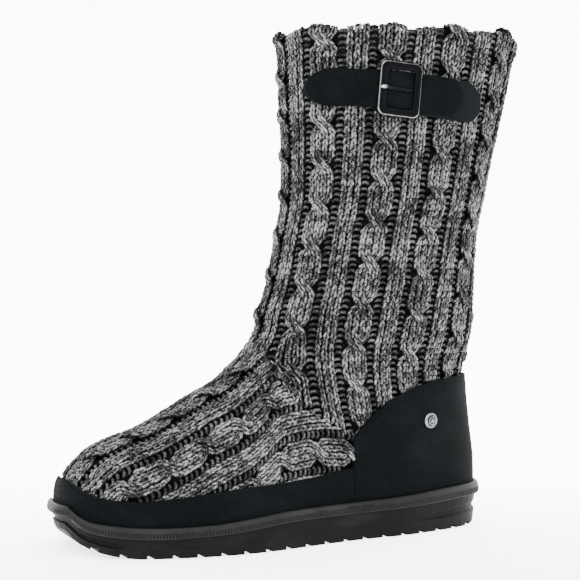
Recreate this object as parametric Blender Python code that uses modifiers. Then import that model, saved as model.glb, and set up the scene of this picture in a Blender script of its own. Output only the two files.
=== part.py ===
"""A left winter boot: knitted upper, suede rand and heel counter, strap with buckle, moulded sole.

Metres, +Z up. The toe points to -Y, the heel to +Y and the outer side of the foot to +X.
The pieces are shaped with the toe of the last at y = 0, then one empty centres them on the origin.
"""

import math

import bmesh
import bpy
import numpy as np
from mathutils import Matrix, Vector

# Sizes of the last
LAST_LENGTH = 0.2560
BALL_WIDTH = 0.0930
HEEL_WIDTH = 0.0660
INSTEP_HEIGHT = 0.1180
TOE_ROUND = 0.0450
HEEL_ROUND = 0.0350
CREASE_BLEND = 0.0120

# Sizes of the shaft
BOOT_HEIGHT = 0.2990
COLLAR_WIDTH = 0.1000
COLLAR_RISE = 0.0022
COLLAR_WAVE = 0.0011
ROLL_UNDERCUT = math.radians(60)
ROLL_HEIGHT = 0.0090
ROLL_SWELL = 0.0014
UPPER_WALL = 0.0036

# Suede, insole and the gap between pieces that touch
GAP = 0.0003
BED_CLEARANCE = 0.0010
SUEDE = 0.0016
INSOLE_THICKNESS = 0.0040
RAND_HEIGHT = 0.0435
COUNTER_HEIGHT = 0.0925
COUNTER_SEAM = 0.1590

# Sizes of the sole
LIP = 0.0028
RIM_HEIGHT = 0.0165
BAND_HEIGHT = 0.0060
BED_HEIGHT = 0.0100
TOE_SPRING = 0.0130
RIM_STEP = 0.0020
SIDE_TAPER = 0.0015
GROOVE_DEPTH = 0.0012
CHANNEL_DEPTH = 0.0018
CHANNEL_WIDTH = 0.0036
CHANNEL_PITCH = 0.0128
CHANNEL_START = 0.0115
CHANNEL_END = 0.2445

# Strap, tab, buckle and rivet
STRAP_LEVEL = 0.2574
STRAP_WIDTH = 0.0215
STRAP_START = 0.1370
STRAP_END = 0.2245
TAB_WIDTH = 0.0235
TAB_END = 0.2400
TAB_DROP = 0.0010
STRAP_SLOPE = math.radians(-3.3)
BLUNT_TIP = math.radians(8)
BUCKLE_ALONG = 0.1818
BUCKLE_WIDTH = 0.0250
BUCKLE_HEIGHT = 0.0310
BUCKLE_FACE = 0.0042
BUCKLE_THICKNESS = 0.0018
BUCKLE_CORNER = 0.0040
BUCKLE_LEAN = math.radians(5)
PRONG_DIAMETER = 0.0022
RIVET_ALONG = 0.2117
RIVET_LEVEL = 0.0660
RIVET_DIAMETER = 0.0095
RIVET_DOME = 0.0022

# Foot part of the last, a row for each station from the toe (0) to the heel (1).
# bend: how far its middle lies to the outer side, a share of BALL_WIDTH
# half: half its width, a share of BALL_WIDTH
# ridge: height of its top line, a share of INSTEP_HEIGHT
FOOT = (
    # along, bend, half, ridge
    (0.000, -0.085, 0.375, 0.505),
    (0.110, -0.060, 0.440, 0.520),
    (0.155, -0.045, 0.460, 0.536),
    (0.230, -0.018, 0.484, 0.613),
    (0.300, 0.004, 0.495, 0.706),
    (0.356, 0.016, 0.490, 0.771),
    (0.403, 0.024, 0.474, 0.862),
    (0.450, 0.030, 0.450, 0.955),
    (0.560, 0.036, 0.394, 1.000),
    (0.700, 0.022, 0.358, 0.950),
    (0.850, 0.004, 0.350, 0.850),
    (1.000, 0.000, 0.350, 0.700),
)

# Shaft and heel part of the last, a row for each level.
# level: 0 at the floor, 1 at the instep's height, 2 at the collar
# front, back: where the section starts and ends, shares of LAST_LENGTH
# spread: 0 where it is as wide as the heel, 1 where it is as wide as the collar
SHAFT = (
    # level, front, back, spread
    (0.00, 0.540, 1.007, 0.03),
    (0.30, 0.540, 1.007, 0.03),
    (0.54, 0.500, 0.993, 0.14),
    (0.80, 0.470, 0.980, 0.34),
    (0.93, 0.456, 0.995, 0.48),
    (1.04, 0.463, 1.005, 0.60),
    (1.16, 0.490, 1.005, 0.70),
    (1.30, 0.511, 1.008, 0.78),
    (1.45, 0.530, 1.030, 0.84),
    (1.60, 0.531, 1.055, 0.90),
    (1.75, 0.525, 1.084, 0.95),
    (2.00, 0.519, 1.128, 1.00),
)

# Side of the sole and its bed, a row for each station from the toe to the heel.
# rim: top of the rim, a share of RIM_HEIGHT; band: height of the ribbed band, of BAND_HEIGHT
# floor: lift of the underside, of TOE_SPRING; bed: height of the foot bed, of BED_HEIGHT
# groove: depth of the side groove, of GROOVE_DEPTH
SOLE_SIDE = (
    # along, rim, band, floor, bed, groove
    (0.000, 1.600, 0.92, 1.00, 1.95, 1.0),
    (0.018, 1.300, 0.94, 0.54, 1.76, 1.0),
    (0.040, 1.140, 0.96, 0.30, 1.53, 1.0),
    (0.080, 1.065, 1.00, 0.09, 1.13, 0.8),
    (0.130, 1.015, 1.00, 0.00, 1.02, 0.1),
    (0.180, 1.000, 0.98, 0.00, 1.00, 0.1),
    (0.270, 1.040, 0.94, 0.00, 1.02, 0.1),
    (0.360, 1.170, 1.00, 0.00, 1.10, 0.1),
    (0.450, 1.295, 1.00, 0.00, 1.20, 0.1),
    (0.560, 1.330, 1.03, 0.00, 1.25, 0.1),
    (0.680, 1.355, 1.06, 0.00, 1.32, 0.1),
    (0.780, 1.430, 1.15, 0.00, 1.38, 0.1),
    (0.850, 1.500, 1.22, 0.00, 1.42, 0.8),
    (0.930, 1.550, 1.20, 0.00, 1.45, 1.0),
    (0.970, 1.550, 1.20, 0.02, 1.45, 1.0),
    (1.000, 1.540, 1.20, 0.12, 1.45, 1.0),
)

# Upper edges of the suede pieces, shares of RAND_HEIGHT and COUNTER_HEIGHT.
RAND_TOP = (
    # along, top
    (0.000, 1.000),
    (0.014, 0.880),
    (0.038, 0.770),
    (0.080, 0.714),
    (0.126, 0.701),
    (0.200, 0.732),
    (0.277, 0.784),
    (0.360, 0.832),
    (0.452, 0.853),
    (0.517, 0.880),
    (0.584, 0.938),
    (0.640, 0.965),
)
COUNTER_TOP = (
    # along, top
    (0.600, 0.540),
    (0.614, 0.585),
    (0.631, 0.660),
    (0.656, 0.724),
    (0.681, 0.790),
    (0.713, 0.850),
    (0.778, 0.930),
    (0.851, 0.975),
    (1.000, 1.000),
)

# Waves of the collar's edge: how many round the collar, size as a share of COLLAR_WAVE, shift.
COLLAR_WAVES = (
    # number, size, shift
    (10, 1.0, -10.3),
    (3, 0.6, -0.57),
)

# Levels on the sole's lower wall, shares of its height: the side groove's edges and its floor.
# widening is added above the groove's middle, so the groove is a wedge where it is deep.
GROOVE = {"low": 0.42, "floor_low": 0.49, "floor_high": 0.51, "high": 0.60, "widening": 0.12}

# Levels on the sole's rim band, shares of the band's height under its top edge.
BAND = {"foot": 1.00, "ledge": 0.90, "shoulder": 0.32}
CHAMFER = 0.45

FOOT_POWER = 2.3
SHAFT_POWER = 2.25
OUTER = 1
INNER = -1


def read(table, column, at):
    """Smooth value of a table's column, without overshoot, at places along its first column."""
    knots = np.array([row[0] for row in table])
    values = np.array([row[column] for row in table])
    rise = np.diff(values) / np.diff(knots)
    before, after = rise[:-1], rise[1:]
    same_way = before * after > 0
    slopes = np.concatenate(([rise[0]], np.zeros(len(rise) - 1), [rise[-1]]))
    slopes[1:-1][same_way] = (2 * before * after)[same_way] / (before + after)[same_way]
    at = np.clip(at, knots[0], knots[-1])
    cell = np.clip(np.searchsorted(knots, at) - 1, 0, len(knots) - 2)
    span = np.diff(knots)[cell]
    t = (at - knots[cell]) / span
    start = values[cell] * (1 + 2 * t) * (1 - t) ** 2 + slopes[cell] * span * t * (1 - t) ** 2
    end = values[cell + 1] * (3 - 2 * t) * t ** 2 - slopes[cell + 1] * span * (1 - t) * t ** 2
    return start + end


def bend(y):
    """X of the middle of the last."""
    return read(FOOT, 1, y / LAST_LENGTH) * BALL_WIDTH


def rim_top(y):
    return read(SOLE_SIDE, 1, y / LAST_LENGTH) * RIM_HEIGHT


def bed_top(y):
    return read(SOLE_SIDE, 4, y / LAST_LENGTH) * BED_HEIGHT


def superellipse_gap(ratios, radii, power):
    """About how far a point lies outside a rounded form, from its offsets as shares of the radii."""
    total = sum(ratio ** power for ratio in ratios)
    size = np.maximum(total, 1e-9) ** (1 / power)
    steepness = sum((ratio ** (power - 1) / radius) ** 2 for ratio, radius in zip(ratios, radii))
    return (size - 1) * size ** (power - 1) / np.sqrt(steepness + 1e-6)


def foot_gap(x, y, z):
    """Distance outside the foot: an arch over each station, rounded at both ends."""
    along = y / LAST_LENGTH
    half = read(FOOT, 2, along) * BALL_WIDTH
    widest = rim_top(y) + GAP
    rise = read(FOOT, 3, along) * INSTEP_HEIGHT - widest
    heel_start = LAST_LENGTH - 2 * HEEL_ROUND
    toe = np.maximum(0, TOE_ROUND - y) / TOE_ROUND
    heel = np.maximum(0, y - heel_start) / HEEL_ROUND
    up = np.maximum(0, z - widest) / rise
    across = np.abs(x - bend(y)) / half
    end_round = np.where(y > heel_start, HEEL_ROUND, TOE_ROUND)
    return superellipse_gap((across, up, toe + heel), (half, rise, end_round), FOOT_POWER)


def shaft_gap(x, y, z):
    """Distance outside the shaft and heel: an oval at each level."""
    above = (z - INSTEP_HEIGHT) / (BOOT_HEIGHT - INSTEP_HEIGHT)
    level = np.where(z < INSTEP_HEIGHT, z / INSTEP_HEIGHT, 1 + above)
    front = read(SHAFT, 1, level) * LAST_LENGTH
    back = read(SHAFT, 2, level) * LAST_LENGTH
    half = (HEEL_WIDTH + (COLLAR_WIDTH - HEEL_WIDTH) * read(SHAFT, 3, level)) / 2
    length = (back - front) / 2
    lengthwise = np.abs(y - (front + back) / 2) / length
    return superellipse_gap((np.abs(x) / half, lengthwise), (half, length), SHAFT_POWER)


def last_gap(x, y, z):
    """Distance outside the whole last, with a soft crease where shaft and foot meet."""
    foot = foot_gap(x, y, z)
    shaft = shaft_gap(x, y, z)
    near = np.maximum(CREASE_BLEND - np.abs(foot - shaft), 0) / CREASE_BLEND
    return np.minimum(foot, shaft) - near ** 2 * CREASE_BLEND / 4


def search(gap_at, inside, outside):
    """Where a line from inside to outside crosses the surface, by halving."""
    for _ in range(36):
        middle = (inside + outside) / 2
        is_in = gap_at(middle) < 0
        inside = np.where(is_in, middle, inside)
        outside = np.where(is_in, outside, middle)
    return (inside + outside) / 2


def end_of_last(z, grow, way):
    """Y of the front (way -1) or the back (way 1) of the last at height z, grown by grow."""
    z = np.asarray(z, dtype=float)
    start = np.full(z.shape, LAST_LENGTH * 0.72)
    far = start + way * LAST_LENGTH
    return search(lambda y: last_gap(bend(y), y, z) - grow, start, far)


def side_of_last(y, z, side, grow):
    """X of the last's outer or inner side at y and z, grown by grow."""
    y, z = np.broadcast_arrays(y, z)
    middle = bend(y)
    far = middle + side * (BALL_WIDTH + COLLAR_WIDTH)
    return search(lambda x: last_gap(x, y, z) - grow, middle, far)


def ring_shares(columns):
    """Shares of the length, close together at both ends."""
    return (1 - np.cos(np.linspace(0, math.pi, columns))) / 2


def ring(shares, z, grow):
    """Closed ring round the last: along the outer side to the heel, back along the inner side."""
    z = np.broadcast_to(z, (2, len(shares)))
    grow = np.broadcast_to(grow, (2, len(shares)))
    points = []
    for side, heights, offsets in ((OUTER, z[0], grow[0]), (INNER, z[1], grow[1])):
        front = end_of_last(heights, offsets, -1)
        back = end_of_last(heights, offsets, 1)
        y = front + shares * (back - front)
        x = side_of_last(y, heights, side, offsets)
        points.append(np.column_stack((x, y, heights)))
    outer, inner = points
    return np.vstack((outer, inner[-2:0:-1]))


def finish(name, mesh, finish_material, parts):
    """Put a mesh into the model under its name, shaded smooth but for its sharp edges."""
    mesh.materials.append(finish_material)
    mesh.shade_smooth()
    mesh.set_sharp_from_angle(angle=math.radians(40))
    piece = bpy.data.objects.new(name, mesh)
    parts.objects.link(piece)
    return piece


def skin(name, rows, closed_rows, loop=False, caps=()):
    """Mesh through rows of points. Each cap joins its row's outer points to the inner ones."""
    width = len(rows[0])
    faces = []
    for low in range(len(rows) if loop else len(rows) - 1):
        high = (low + 1) % len(rows)
        for column in range(width if closed_rows else width - 1):
            after = (column + 1) % width
            a = low * width
            b = high * width
            faces.append((a + column, a + after, b + after, b + column))
    for row in caps:
        start = row * width
        half = width // 2
        pairs = [(start, start)]
        pairs += [(start + k, start + width - k) for k in range(1, half)]
        pairs.append((start + half, start + half))
        for (out_a, in_a), (out_b, in_b) in zip(pairs, pairs[1:]):
            corners = [out_a, in_a, in_b, out_b]
            faces.append(tuple(c for k, c in enumerate(corners) if c not in corners[:k]))
    mesh = bpy.data.meshes.new(name)
    mesh.from_pydata([tuple(point) for row in rows for point in row], [], faces)
    scratch = bmesh.new()
    scratch.from_mesh(mesh)
    bmesh.ops.recalc_face_normals(scratch, faces=scratch.faces)
    scratch.to_mesh(mesh)
    scratch.free()
    return mesh


def material(name, colour, roughness, metallic=0.0):
    """A plain finish for one kind of piece."""
    made = bpy.data.materials.new(name)
    made.use_nodes = True
    shader = made.node_tree.nodes["Principled BSDF"]
    shader.inputs["Base Color"].default_value = (*colour, 1)
    shader.inputs["Roughness"].default_value = roughness
    shader.inputs["Metallic"].default_value = metallic
    return made


def plan_ring(shares, offset, height_at):
    """Ring with the last's plan at its widest line, grown by offset, each point at its own height."""
    widest = rim_top(shares * LAST_LENGTH) + GAP
    points = ring(shares, widest, offset)
    points[:, 2] = height_at(points[:, 1])
    return points


def sole_rows(shares):
    """Rings of the sole's side, from the tread's edge over the rim and down to the foot bed."""
    lip_out = GAP + SUEDE + GAP + LIP
    waist = lip_out - RIM_STEP
    middle = waist - SIDE_TAPER / 2
    groove = read(SOLE_SIDE, 5, shares) * GROOVE_DEPTH

    def under(y):
        return read(SOLE_SIDE, 3, y / LAST_LENGTH) * TOE_SPRING

    def in_band(y, share):
        return rim_top(y) - share * read(SOLE_SIDE, 2, y / LAST_LENGTH) * BAND_HEIGHT

    def in_wall(y, share):
        return under(y) + share * (in_band(y, 1) - under(y))

    def above_groove(y, share):
        return in_wall(y, share + read(SOLE_SIDE, 5, y / LAST_LENGTH) * GROOVE["widening"])

    sides = [
        (waist - SIDE_TAPER, under),
        (middle, lambda y: in_wall(y, GROOVE["low"])),
        (middle - groove, lambda y: in_wall(y, GROOVE["floor_low"])),
        (middle - groove, lambda y: above_groove(y, GROOVE["floor_high"])),
        (middle, lambda y: above_groove(y, GROOVE["high"])),
        (waist, lambda y: in_band(y, BAND["foot"])),
        (lip_out, lambda y: in_band(y, BAND["ledge"])),
        (lip_out, lambda y: in_band(y, BAND["shoulder"])),
        (lip_out - LIP * CHAMFER, rim_top),
        (lip_out - LIP, rim_top),
        (lip_out - LIP, bed_top),
    ]
    return [plan_ring(shares, offset, height_at) for offset, height_at in sides]


def make_sole(parts, cutters, rubber):
    """Cup sole: lofted side with groove, step, ribbed band and lip, and channels across the tread."""
    shares = ring_shares(39)
    rows = sole_rows(shares)
    mesh = skin("sole", rows, True, caps=(0, len(rows) - 1))
    sole = finish("sole", mesh, rubber, parts)

    count = int((CHANNEL_END - CHANNEL_START) / CHANNEL_PITCH)
    scratch = bmesh.new()
    for step in range(count + 1):
        y = CHANNEL_START + (CHANNEL_END - CHANNEL_START) * step / count
        under = float(read(SOLE_SIDE, 3, np.array([y / LAST_LENGTH]))[0]) * TOE_SPRING
        made = bmesh.ops.create_cube(scratch, size=1)
        for corner in made["verts"]:
            corner.co.x *= 2 * BALL_WIDTH
            corner.co.y = corner.co.y * CHANNEL_WIDTH + y
            corner.co.z = corner.co.z * 2 * CHANNEL_DEPTH + under
    cut_mesh = bpy.data.meshes.new("tread_channels")
    scratch.to_mesh(cut_mesh)
    scratch.free()
    channels = bpy.data.objects.new("tread_channels", cut_mesh)
    channels.hide_render = True
    channels.display_type = "WIRE"
    cutters.objects.link(channels)
    cut = sole.modifiers.new("tread channels", "BOOLEAN")
    cut.operation = "DIFFERENCE"
    cut.object = channels
    return sole, channels


def make_insole(parts, fleece):
    """Flat footbed piece that lies on the sole, inside the upper."""
    shares = ring_shares(29)
    inset = -(UPPER_WALL + GAP)
    rows = [
        plan_ring(shares, inset, lambda y, lift=lift: bed_top(y) + lift)
        for lift in (GAP, GAP + INSOLE_THICKNESS)
    ]
    return finish("insole", skin("insole", rows, True, caps=(0, 1)), fleece, parts)


def collar_height(shares):
    """Height of the collar's edge on both sides: it rises to the back, in soft waves."""
    turn = np.arccos(1 - 2 * shares)
    heights = []
    for side in (OUTER, INNER):
        waves = sum(size * np.cos(number * turn * side + shift) for number, size, shift in COLLAR_WAVES)
        heights.append(BOOT_HEIGHT - COLLAR_RISE * np.cos(turn) + COLLAR_WAVE * waves)
    return np.array(heights)


def make_upper(parts, knit):
    """Knitted foot and shaft with its lining, one hollow wall, open at the collar and underneath."""
    shares = ring_shares(33)
    low = np.array([bed_top(shares * LAST_LENGTH) + BED_CLEARANCE] * 2)
    top = collar_height(shares) - ROLL_SWELL

    def levels(foot_rows, shaft_rows):
        ankle = INSTEP_HEIGHT / BOOT_HEIGHT
        foot = np.linspace(0, ankle, foot_rows)
        return np.concatenate((foot, np.linspace(ankle, 1 - ROLL_HEIGHT / BOOT_HEIGHT, shaft_rows)[1:]))

    outer = [ring(shares, low + level * (top - low), 0.0) for level in levels(17, 8)]
    inner = [ring(shares, low + level * (top - low), -UPPER_WALL) for level in levels(12, 5)[::-1]]
    roll = []
    middle = -UPPER_WALL / 2
    swell = UPPER_WALL / 2 + ROLL_SWELL
    for angle in np.linspace(-ROLL_UNDERCUT, math.pi + ROLL_UNDERCUT, 7):
        height = top - ROLL_HEIGHT / 2 + ROLL_HEIGHT / 2 * math.sin(angle)
        roll.append(ring(shares, height, middle + swell * math.cos(angle)))
    mesh = skin("upper", outer + roll + inner, True, loop=True)
    return finish("upper", mesh, knit, parts)


def thicken(piece, thickness):
    """Give an open sheet its thickness, outwards from its inner face."""
    solid = piece.modifiers.new("thickness", "SOLIDIFY")
    solid.thickness = thickness
    solid.offset = 1
    solid.use_even_offset = True


def wrap(y_start, way, heights_at, grow, columns, row_count):
    """Sheet on the last from a line at y_start, round its toe (way -1) or heel (way 1), and back."""
    quarter = np.sin(np.linspace(0, math.pi / 2, columns))
    steps = np.concatenate((quarter, quarter[-2::-1]))
    sides = np.concatenate((np.full(columns, OUTER), np.full(columns - 1, INNER)))
    rows = []
    for share in np.linspace(0, 1, row_count):
        tip = LAST_LENGTH if way > 0 else 0.0
        for _ in range(16):
            y = y_start + steps * (tip - y_start)
            z = heights_at(y, share)
            tip = end_of_last(z, grow, way)
        x = np.where(
            sides == OUTER, side_of_last(y, z, OUTER, grow), side_of_last(y, z, INNER, grow)
        )
        rows.append(np.column_stack((x, y, z)))
    return rows


def face_out(mesh):
    """Turn an open sheet's faces away from the middle of the last."""
    total = 0.0
    for face in mesh.polygons:
        away = face.center.copy()
        away.y -= LAST_LENGTH * 0.6
        away.z = 0
        total += face.normal.dot(away) * face.area
    if total < 0:
        mesh.flip_normals()


def make_rand(parts, suede):
    """Suede band round the toe and both sides of the foot, its lower edge held in the sole's lip."""
    def heights_at(y, share):
        low = bed_top(y) + BED_CLEARANCE
        high = read(RAND_TOP, 1, y / LAST_LENGTH) * RAND_HEIGHT
        return low + share * (high - low)

    rows = wrap(COUNTER_SEAM - GAP / 2, -1, heights_at, GAP, 25, 6)
    mesh = skin("toe_rand", rows, False)
    face_out(mesh)
    rand = finish("toe_rand", mesh, suede, parts)
    thicken(rand, SUEDE)
    return rand


def make_counter(parts, suede):
    """Suede heel piece with a dished top edge, from a seam on each side round the back."""
    def heights_at(y, share):
        low = bed_top(y) + BED_CLEARANCE
        high = read(COUNTER_TOP, 1, y / LAST_LENGTH) * COUNTER_HEIGHT
        return low + share * (high - low)

    rows = wrap(COUNTER_SEAM + GAP / 2, 1, heights_at, GAP, 15, 8)
    mesh = skin("heel_counter", rows, False)
    face_out(mesh)
    counter = finish("heel_counter", mesh, suede, parts)
    thicken(counter, SUEDE)
    return counter


def band_outline(start, end, width, round_start, round_end, columns):
    """Places along a band and its half height there, with round ends where they are asked for."""
    half = width / 2
    angles = np.linspace(BLUNT_TIP, math.pi / 2, 6)
    along = []
    heights = []
    if round_start:
        along += list(start + half - half * np.cos(angles))
        heights += list(half * np.sin(angles))
    body_start = start + half if round_start else start
    body_end = end - half if round_end else end
    middle = np.linspace(body_start, body_end, columns)
    along += list(middle[1:-1] if round_start else middle[:-1])
    heights += [half] * (columns - (2 if round_start else 1))
    if round_end:
        along += list(end - half + half * np.cos(angles[::-1]))
        heights += list(half * np.sin(angles[::-1]))
    else:
        along.append(end)
        heights.append(half)
    return np.array(along), np.array(heights)


def make_band(name, outline, level, lift_at, parts, suede):
    """Suede band laid on the outer side of the shaft, at its own lift above the last."""
    along, half = outline
    rows = []
    for share in np.linspace(-1, 1, 4):
        z = level + (along - BUCKLE_ALONG) * math.tan(STRAP_SLOPE) + share * half
        x = side_of_last(along, z, OUTER, lift_at(along))
        rows.append(np.column_stack((x, along, z)))
    mesh = skin(name, rows, False)
    face_out(mesh)
    band = finish(name, mesh, suede, parts)
    thicken(band, SUEDE)
    return band


def tab_start():
    """The tab begins under the buckle's front bar."""
    return BUCKLE_ALONG - BUCKLE_WIDTH / 2


def strap_lift(y):
    """The strap lies on the knit, then climbs over the end of the tab under the buckle."""
    climb = np.clip((y - (tab_start() - 3 * SUEDE - 2 * GAP)) / (3 * SUEDE), 0, 1)
    return GAP + (SUEDE + GAP) * climb * climb * (3 - 2 * climb)


def make_strap_and_tab(parts, suede):
    """Strap sewn on at the front, free tip at the back, and the tab under that tip."""
    tab_level = STRAP_LEVEL - TAB_DROP
    tab_outline = band_outline(tab_start(), TAB_END, TAB_WIDTH, False, True, 14)
    tab = make_band("buckle_tab", tab_outline, tab_level, lambda y: np.full(len(y), GAP), parts, suede)
    strap_outline = band_outline(STRAP_START, STRAP_END, STRAP_WIDTH, True, True, 21)
    strap = make_band("strap", strap_outline, STRAP_LEVEL, strap_lift, parts, suede)
    return strap, tab


def seat_on_side(piece, y, z, lift, lean=0.0):
    """Seat a piece on the outer side of the last: its X along the foot, its Z straight out."""
    step = 0.002
    places = np.array([y, y - step, y + step, y, y])
    levels = np.array([z, z, z, z - step, z + step])
    x = side_of_last(places, levels, OUTER, lift)
    lengthwise = Vector((x[2] - x[1], 2 * step, 0)).normalized()
    upwards = Vector((x[4] - x[3], 0, 2 * step)).normalized()
    outwards = lengthwise.cross(upwards).normalized()
    upwards = outwards.cross(lengthwise)
    axes = Matrix((lengthwise, upwards, outwards)).transposed()
    piece.rotation_euler = (axes @ Matrix.Rotation(-lean, 3, "Z")).to_euler()
    piece.location = (x[0], y, z)


def rounded_rectangle(curve, width, height, corner):
    """Closed outline with round corners, added to a flat curve."""
    points = []
    for quarter, (way_x, way_y) in enumerate(((1, 1), (-1, 1), (-1, -1), (1, -1))):
        start = quarter * math.pi / 2
        for angle in np.linspace(start, start + math.pi / 2, 5):
            x = way_x * (width / 2 - corner) + corner * math.cos(angle)
            y = way_y * (height / 2 - corner) + corner * math.sin(angle)
            points.append((x, y, 0, 1))
    spline = curve.splines.new("POLY")
    spline.points.add(len(points) - 1)
    for target, point in zip(spline.points, points):
        target.co = point
    spline.use_cyclic_u = True


def make_buckle(parts, metal):
    """Flat rectangular frame over the strap, and the prong that lies across it to the front bar."""
    edge = BUCKLE_THICKNESS / 4
    outline = bpy.data.curves.new("buckle_frame", "CURVE")
    outline.dimensions = "2D"
    outline.fill_mode = "BOTH"
    outline.extrude = BUCKLE_THICKNESS / 2 - edge
    outline.bevel_depth = edge
    outline.bevel_resolution = 1
    rounded_rectangle(outline, BUCKLE_WIDTH - 2 * edge, BUCKLE_HEIGHT - 2 * edge, BUCKLE_CORNER)
    hole = 2 * (BUCKLE_FACE - edge)
    rounded_rectangle(outline, BUCKLE_WIDTH - hole, BUCKLE_HEIGHT - hole, BUCKLE_CORNER / 3)
    outline.materials.append(metal)
    buckle = bpy.data.objects.new("buckle_frame", outline)
    parts.objects.link(buckle)
    lift = 3 * GAP + 2 * SUEDE + BUCKLE_THICKNESS / 2
    seat_on_side(buckle, BUCKLE_ALONG, STRAP_LEVEL, lift, BUCKLE_LEAN)

    radius = PRONG_DIAMETER / 2
    low = radius - BUCKLE_THICKNESS / 2
    high = BUCKLE_THICKNESS / 2 + GAP + radius
    inner_edge = BUCKLE_WIDTH / 2 - BUCKLE_FACE
    back_end = inner_edge - GAP - radius
    front_end = BUCKLE_WIDTH / 2 - radius
    rise_start = inner_edge - 3 * radius
    path = bpy.data.curves.new("buckle_prong", "CURVE")
    path.dimensions = "3D"
    path.bevel_depth = radius
    path.bevel_resolution = 2
    path.use_fill_caps = True
    spline = path.splines.new("POLY")
    climb = np.linspace(0, 1, 6)
    soft = climb * climb * (3 - 2 * climb)
    along = np.concatenate(([back_end], -rise_start + climb * (rise_start - inner_edge - 0.2 * radius)))
    heights = np.concatenate(([low], low + soft * (high - low)))
    along = np.append(along, -front_end)
    heights = np.append(heights, high)
    spline.points.add(len(along) - 1)
    for target, x, z in zip(spline.points, along, heights):
        target.co = (x, 0, z, 1)
    path.materials.append(metal)
    prong = bpy.data.objects.new("buckle_prong", path)
    parts.objects.link(prong)
    prong.parent = buckle
    return buckle, prong


def make_rivet(parts, metal):
    """Domed rivet head on the outer side of the heel counter."""
    radius = RIVET_DIAMETER / 2
    profile = [(0, RIVET_DOME)]
    for angle in np.linspace(math.radians(15), math.radians(80), 5):
        profile.append((radius * math.sin(angle), RIVET_DOME * math.cos(angle)))
    profile += [(radius, RIVET_DOME * 0.08), (radius * 0.96, 0), (0, 0)]
    mesh = bpy.data.meshes.new("rivet")
    edges = [(k, k + 1) for k in range(len(profile) - 1)]
    mesh.from_pydata([(x, 0, z) for x, z in profile], edges, [])
    rivet = finish("rivet", mesh, metal, parts)
    turned = rivet.modifiers.new("turned", "SCREW")
    turned.axis = "Z"
    turned.steps = 24
    turned.render_steps = 24
    turned.use_merge_vertices = True
    turned.merge_threshold = 0.00001
    turned.use_smooth_shade = True
    seat_on_side(rivet, RIVET_ALONG, RIVET_LEVEL, 2 * GAP + SUEDE)
    return rivet


def centre_on_floor(boot, pieces):
    """Move everything so that the middle of the boot stands over the origin, on the floor."""
    bpy.context.view_layer.update()
    graph = bpy.context.evaluated_depsgraph_get()
    corners = []
    for piece in pieces:
        solid = piece.evaluated_get(graph)
        corners += [solid.matrix_world @ vertex.co for vertex in solid.to_mesh().vertices]
    lowest = [min(corner[axis] for corner in corners) for axis in range(3)]
    highest = [max(corner[axis] for corner in corners) for axis in range(3)]
    boot.location = (
        -(lowest[0] + highest[0]) / 2, -(lowest[1] + highest[1]) / 2, -lowest[2]
    )


def main():
    for old in list(bpy.data.objects):
        bpy.data.objects.remove(old)
    parts = bpy.data.collections.new("winter_boot")
    cutters = bpy.data.collections.new("cutters")
    bpy.context.scene.collection.children.link(parts)
    bpy.context.scene.collection.children.link(cutters)

    rubber = material("charcoal rubber", (0.016, 0.016, 0.017), 0.55)
    knit = material("grey marl knit", (0.130, 0.130, 0.127), 0.90)
    fleece = material("grey fleece", (0.180, 0.178, 0.170), 0.95)
    suede = material("black suede", (0.006, 0.009, 0.010), 0.85)
    gunmetal = material("gunmetal", (0.060, 0.062, 0.068), 0.30, 1.0)
    silver = material("brushed silver", (0.420, 0.420, 0.430), 0.28, 1.0)

    sole, channels = make_sole(parts, cutters, rubber)
    insole = make_insole(parts, fleece)
    upper = make_upper(parts, knit)
    rand = make_rand(parts, suede)
    counter = make_counter(parts, suede)
    strap, tab = make_strap_and_tab(parts, suede)
    buckle, prong = make_buckle(parts, gunmetal)
    rivet = make_rivet(parts, silver)

    boot = bpy.data.objects.new("boot_place", None)
    parts.objects.link(boot)
    pieces = [sole, insole, upper, rand, counter, strap, tab, buckle, prong, rivet]
    centre_on_floor(boot, pieces)
    for piece in pieces + [channels]:
        if piece is not prong:
            piece.parent = boot


main()
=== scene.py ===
import math

import bpy
import numpy as np
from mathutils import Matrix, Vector, noise


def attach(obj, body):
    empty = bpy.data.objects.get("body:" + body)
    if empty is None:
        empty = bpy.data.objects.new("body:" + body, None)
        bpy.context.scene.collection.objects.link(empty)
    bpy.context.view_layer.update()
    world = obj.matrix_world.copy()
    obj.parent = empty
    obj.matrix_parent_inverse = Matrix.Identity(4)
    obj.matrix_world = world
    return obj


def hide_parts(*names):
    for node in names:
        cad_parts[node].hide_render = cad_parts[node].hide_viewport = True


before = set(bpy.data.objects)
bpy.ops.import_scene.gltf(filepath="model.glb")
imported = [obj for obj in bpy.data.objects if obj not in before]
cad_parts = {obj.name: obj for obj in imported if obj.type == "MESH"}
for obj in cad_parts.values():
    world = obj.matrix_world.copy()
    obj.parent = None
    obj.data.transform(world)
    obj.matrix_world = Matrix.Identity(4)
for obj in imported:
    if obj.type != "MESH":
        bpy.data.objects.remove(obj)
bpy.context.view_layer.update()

# Sole
# One moulding of charcoal rubber that the upper is cemented into. Its lower wall and tread come
# matt from the mould; a raised rim band runs all round it, with fine slanted ribs.
# The last is the form that the boot is made on, and all that is sewn or moulded here lies on it.
# Its sizes are the part's own, in metres, with the toe at y = 0 until LAST_PLACE moves it.
LAST_PLACE = (-0.001805, -0.141953, 0.0)
LAST_LENGTH = 0.2560
BALL_WIDTH = 0.0930
HEEL_WIDTH = 0.0660
INSTEP_HEIGHT = 0.1180
TOE_ROUND = 0.0450
HEEL_ROUND = 0.0350
CREASE_BLEND = 0.0120
BOOT_HEIGHT = 0.2990
COLLAR_WIDTH = 0.1000
RIM_HEIGHT = 0.0165
BED_HEIGHT = 0.0100
GAP = 0.0003
SUEDE = 0.0016
RAND_HEIGHT = 0.0435
COUNTER_HEIGHT = 0.0925

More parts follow.
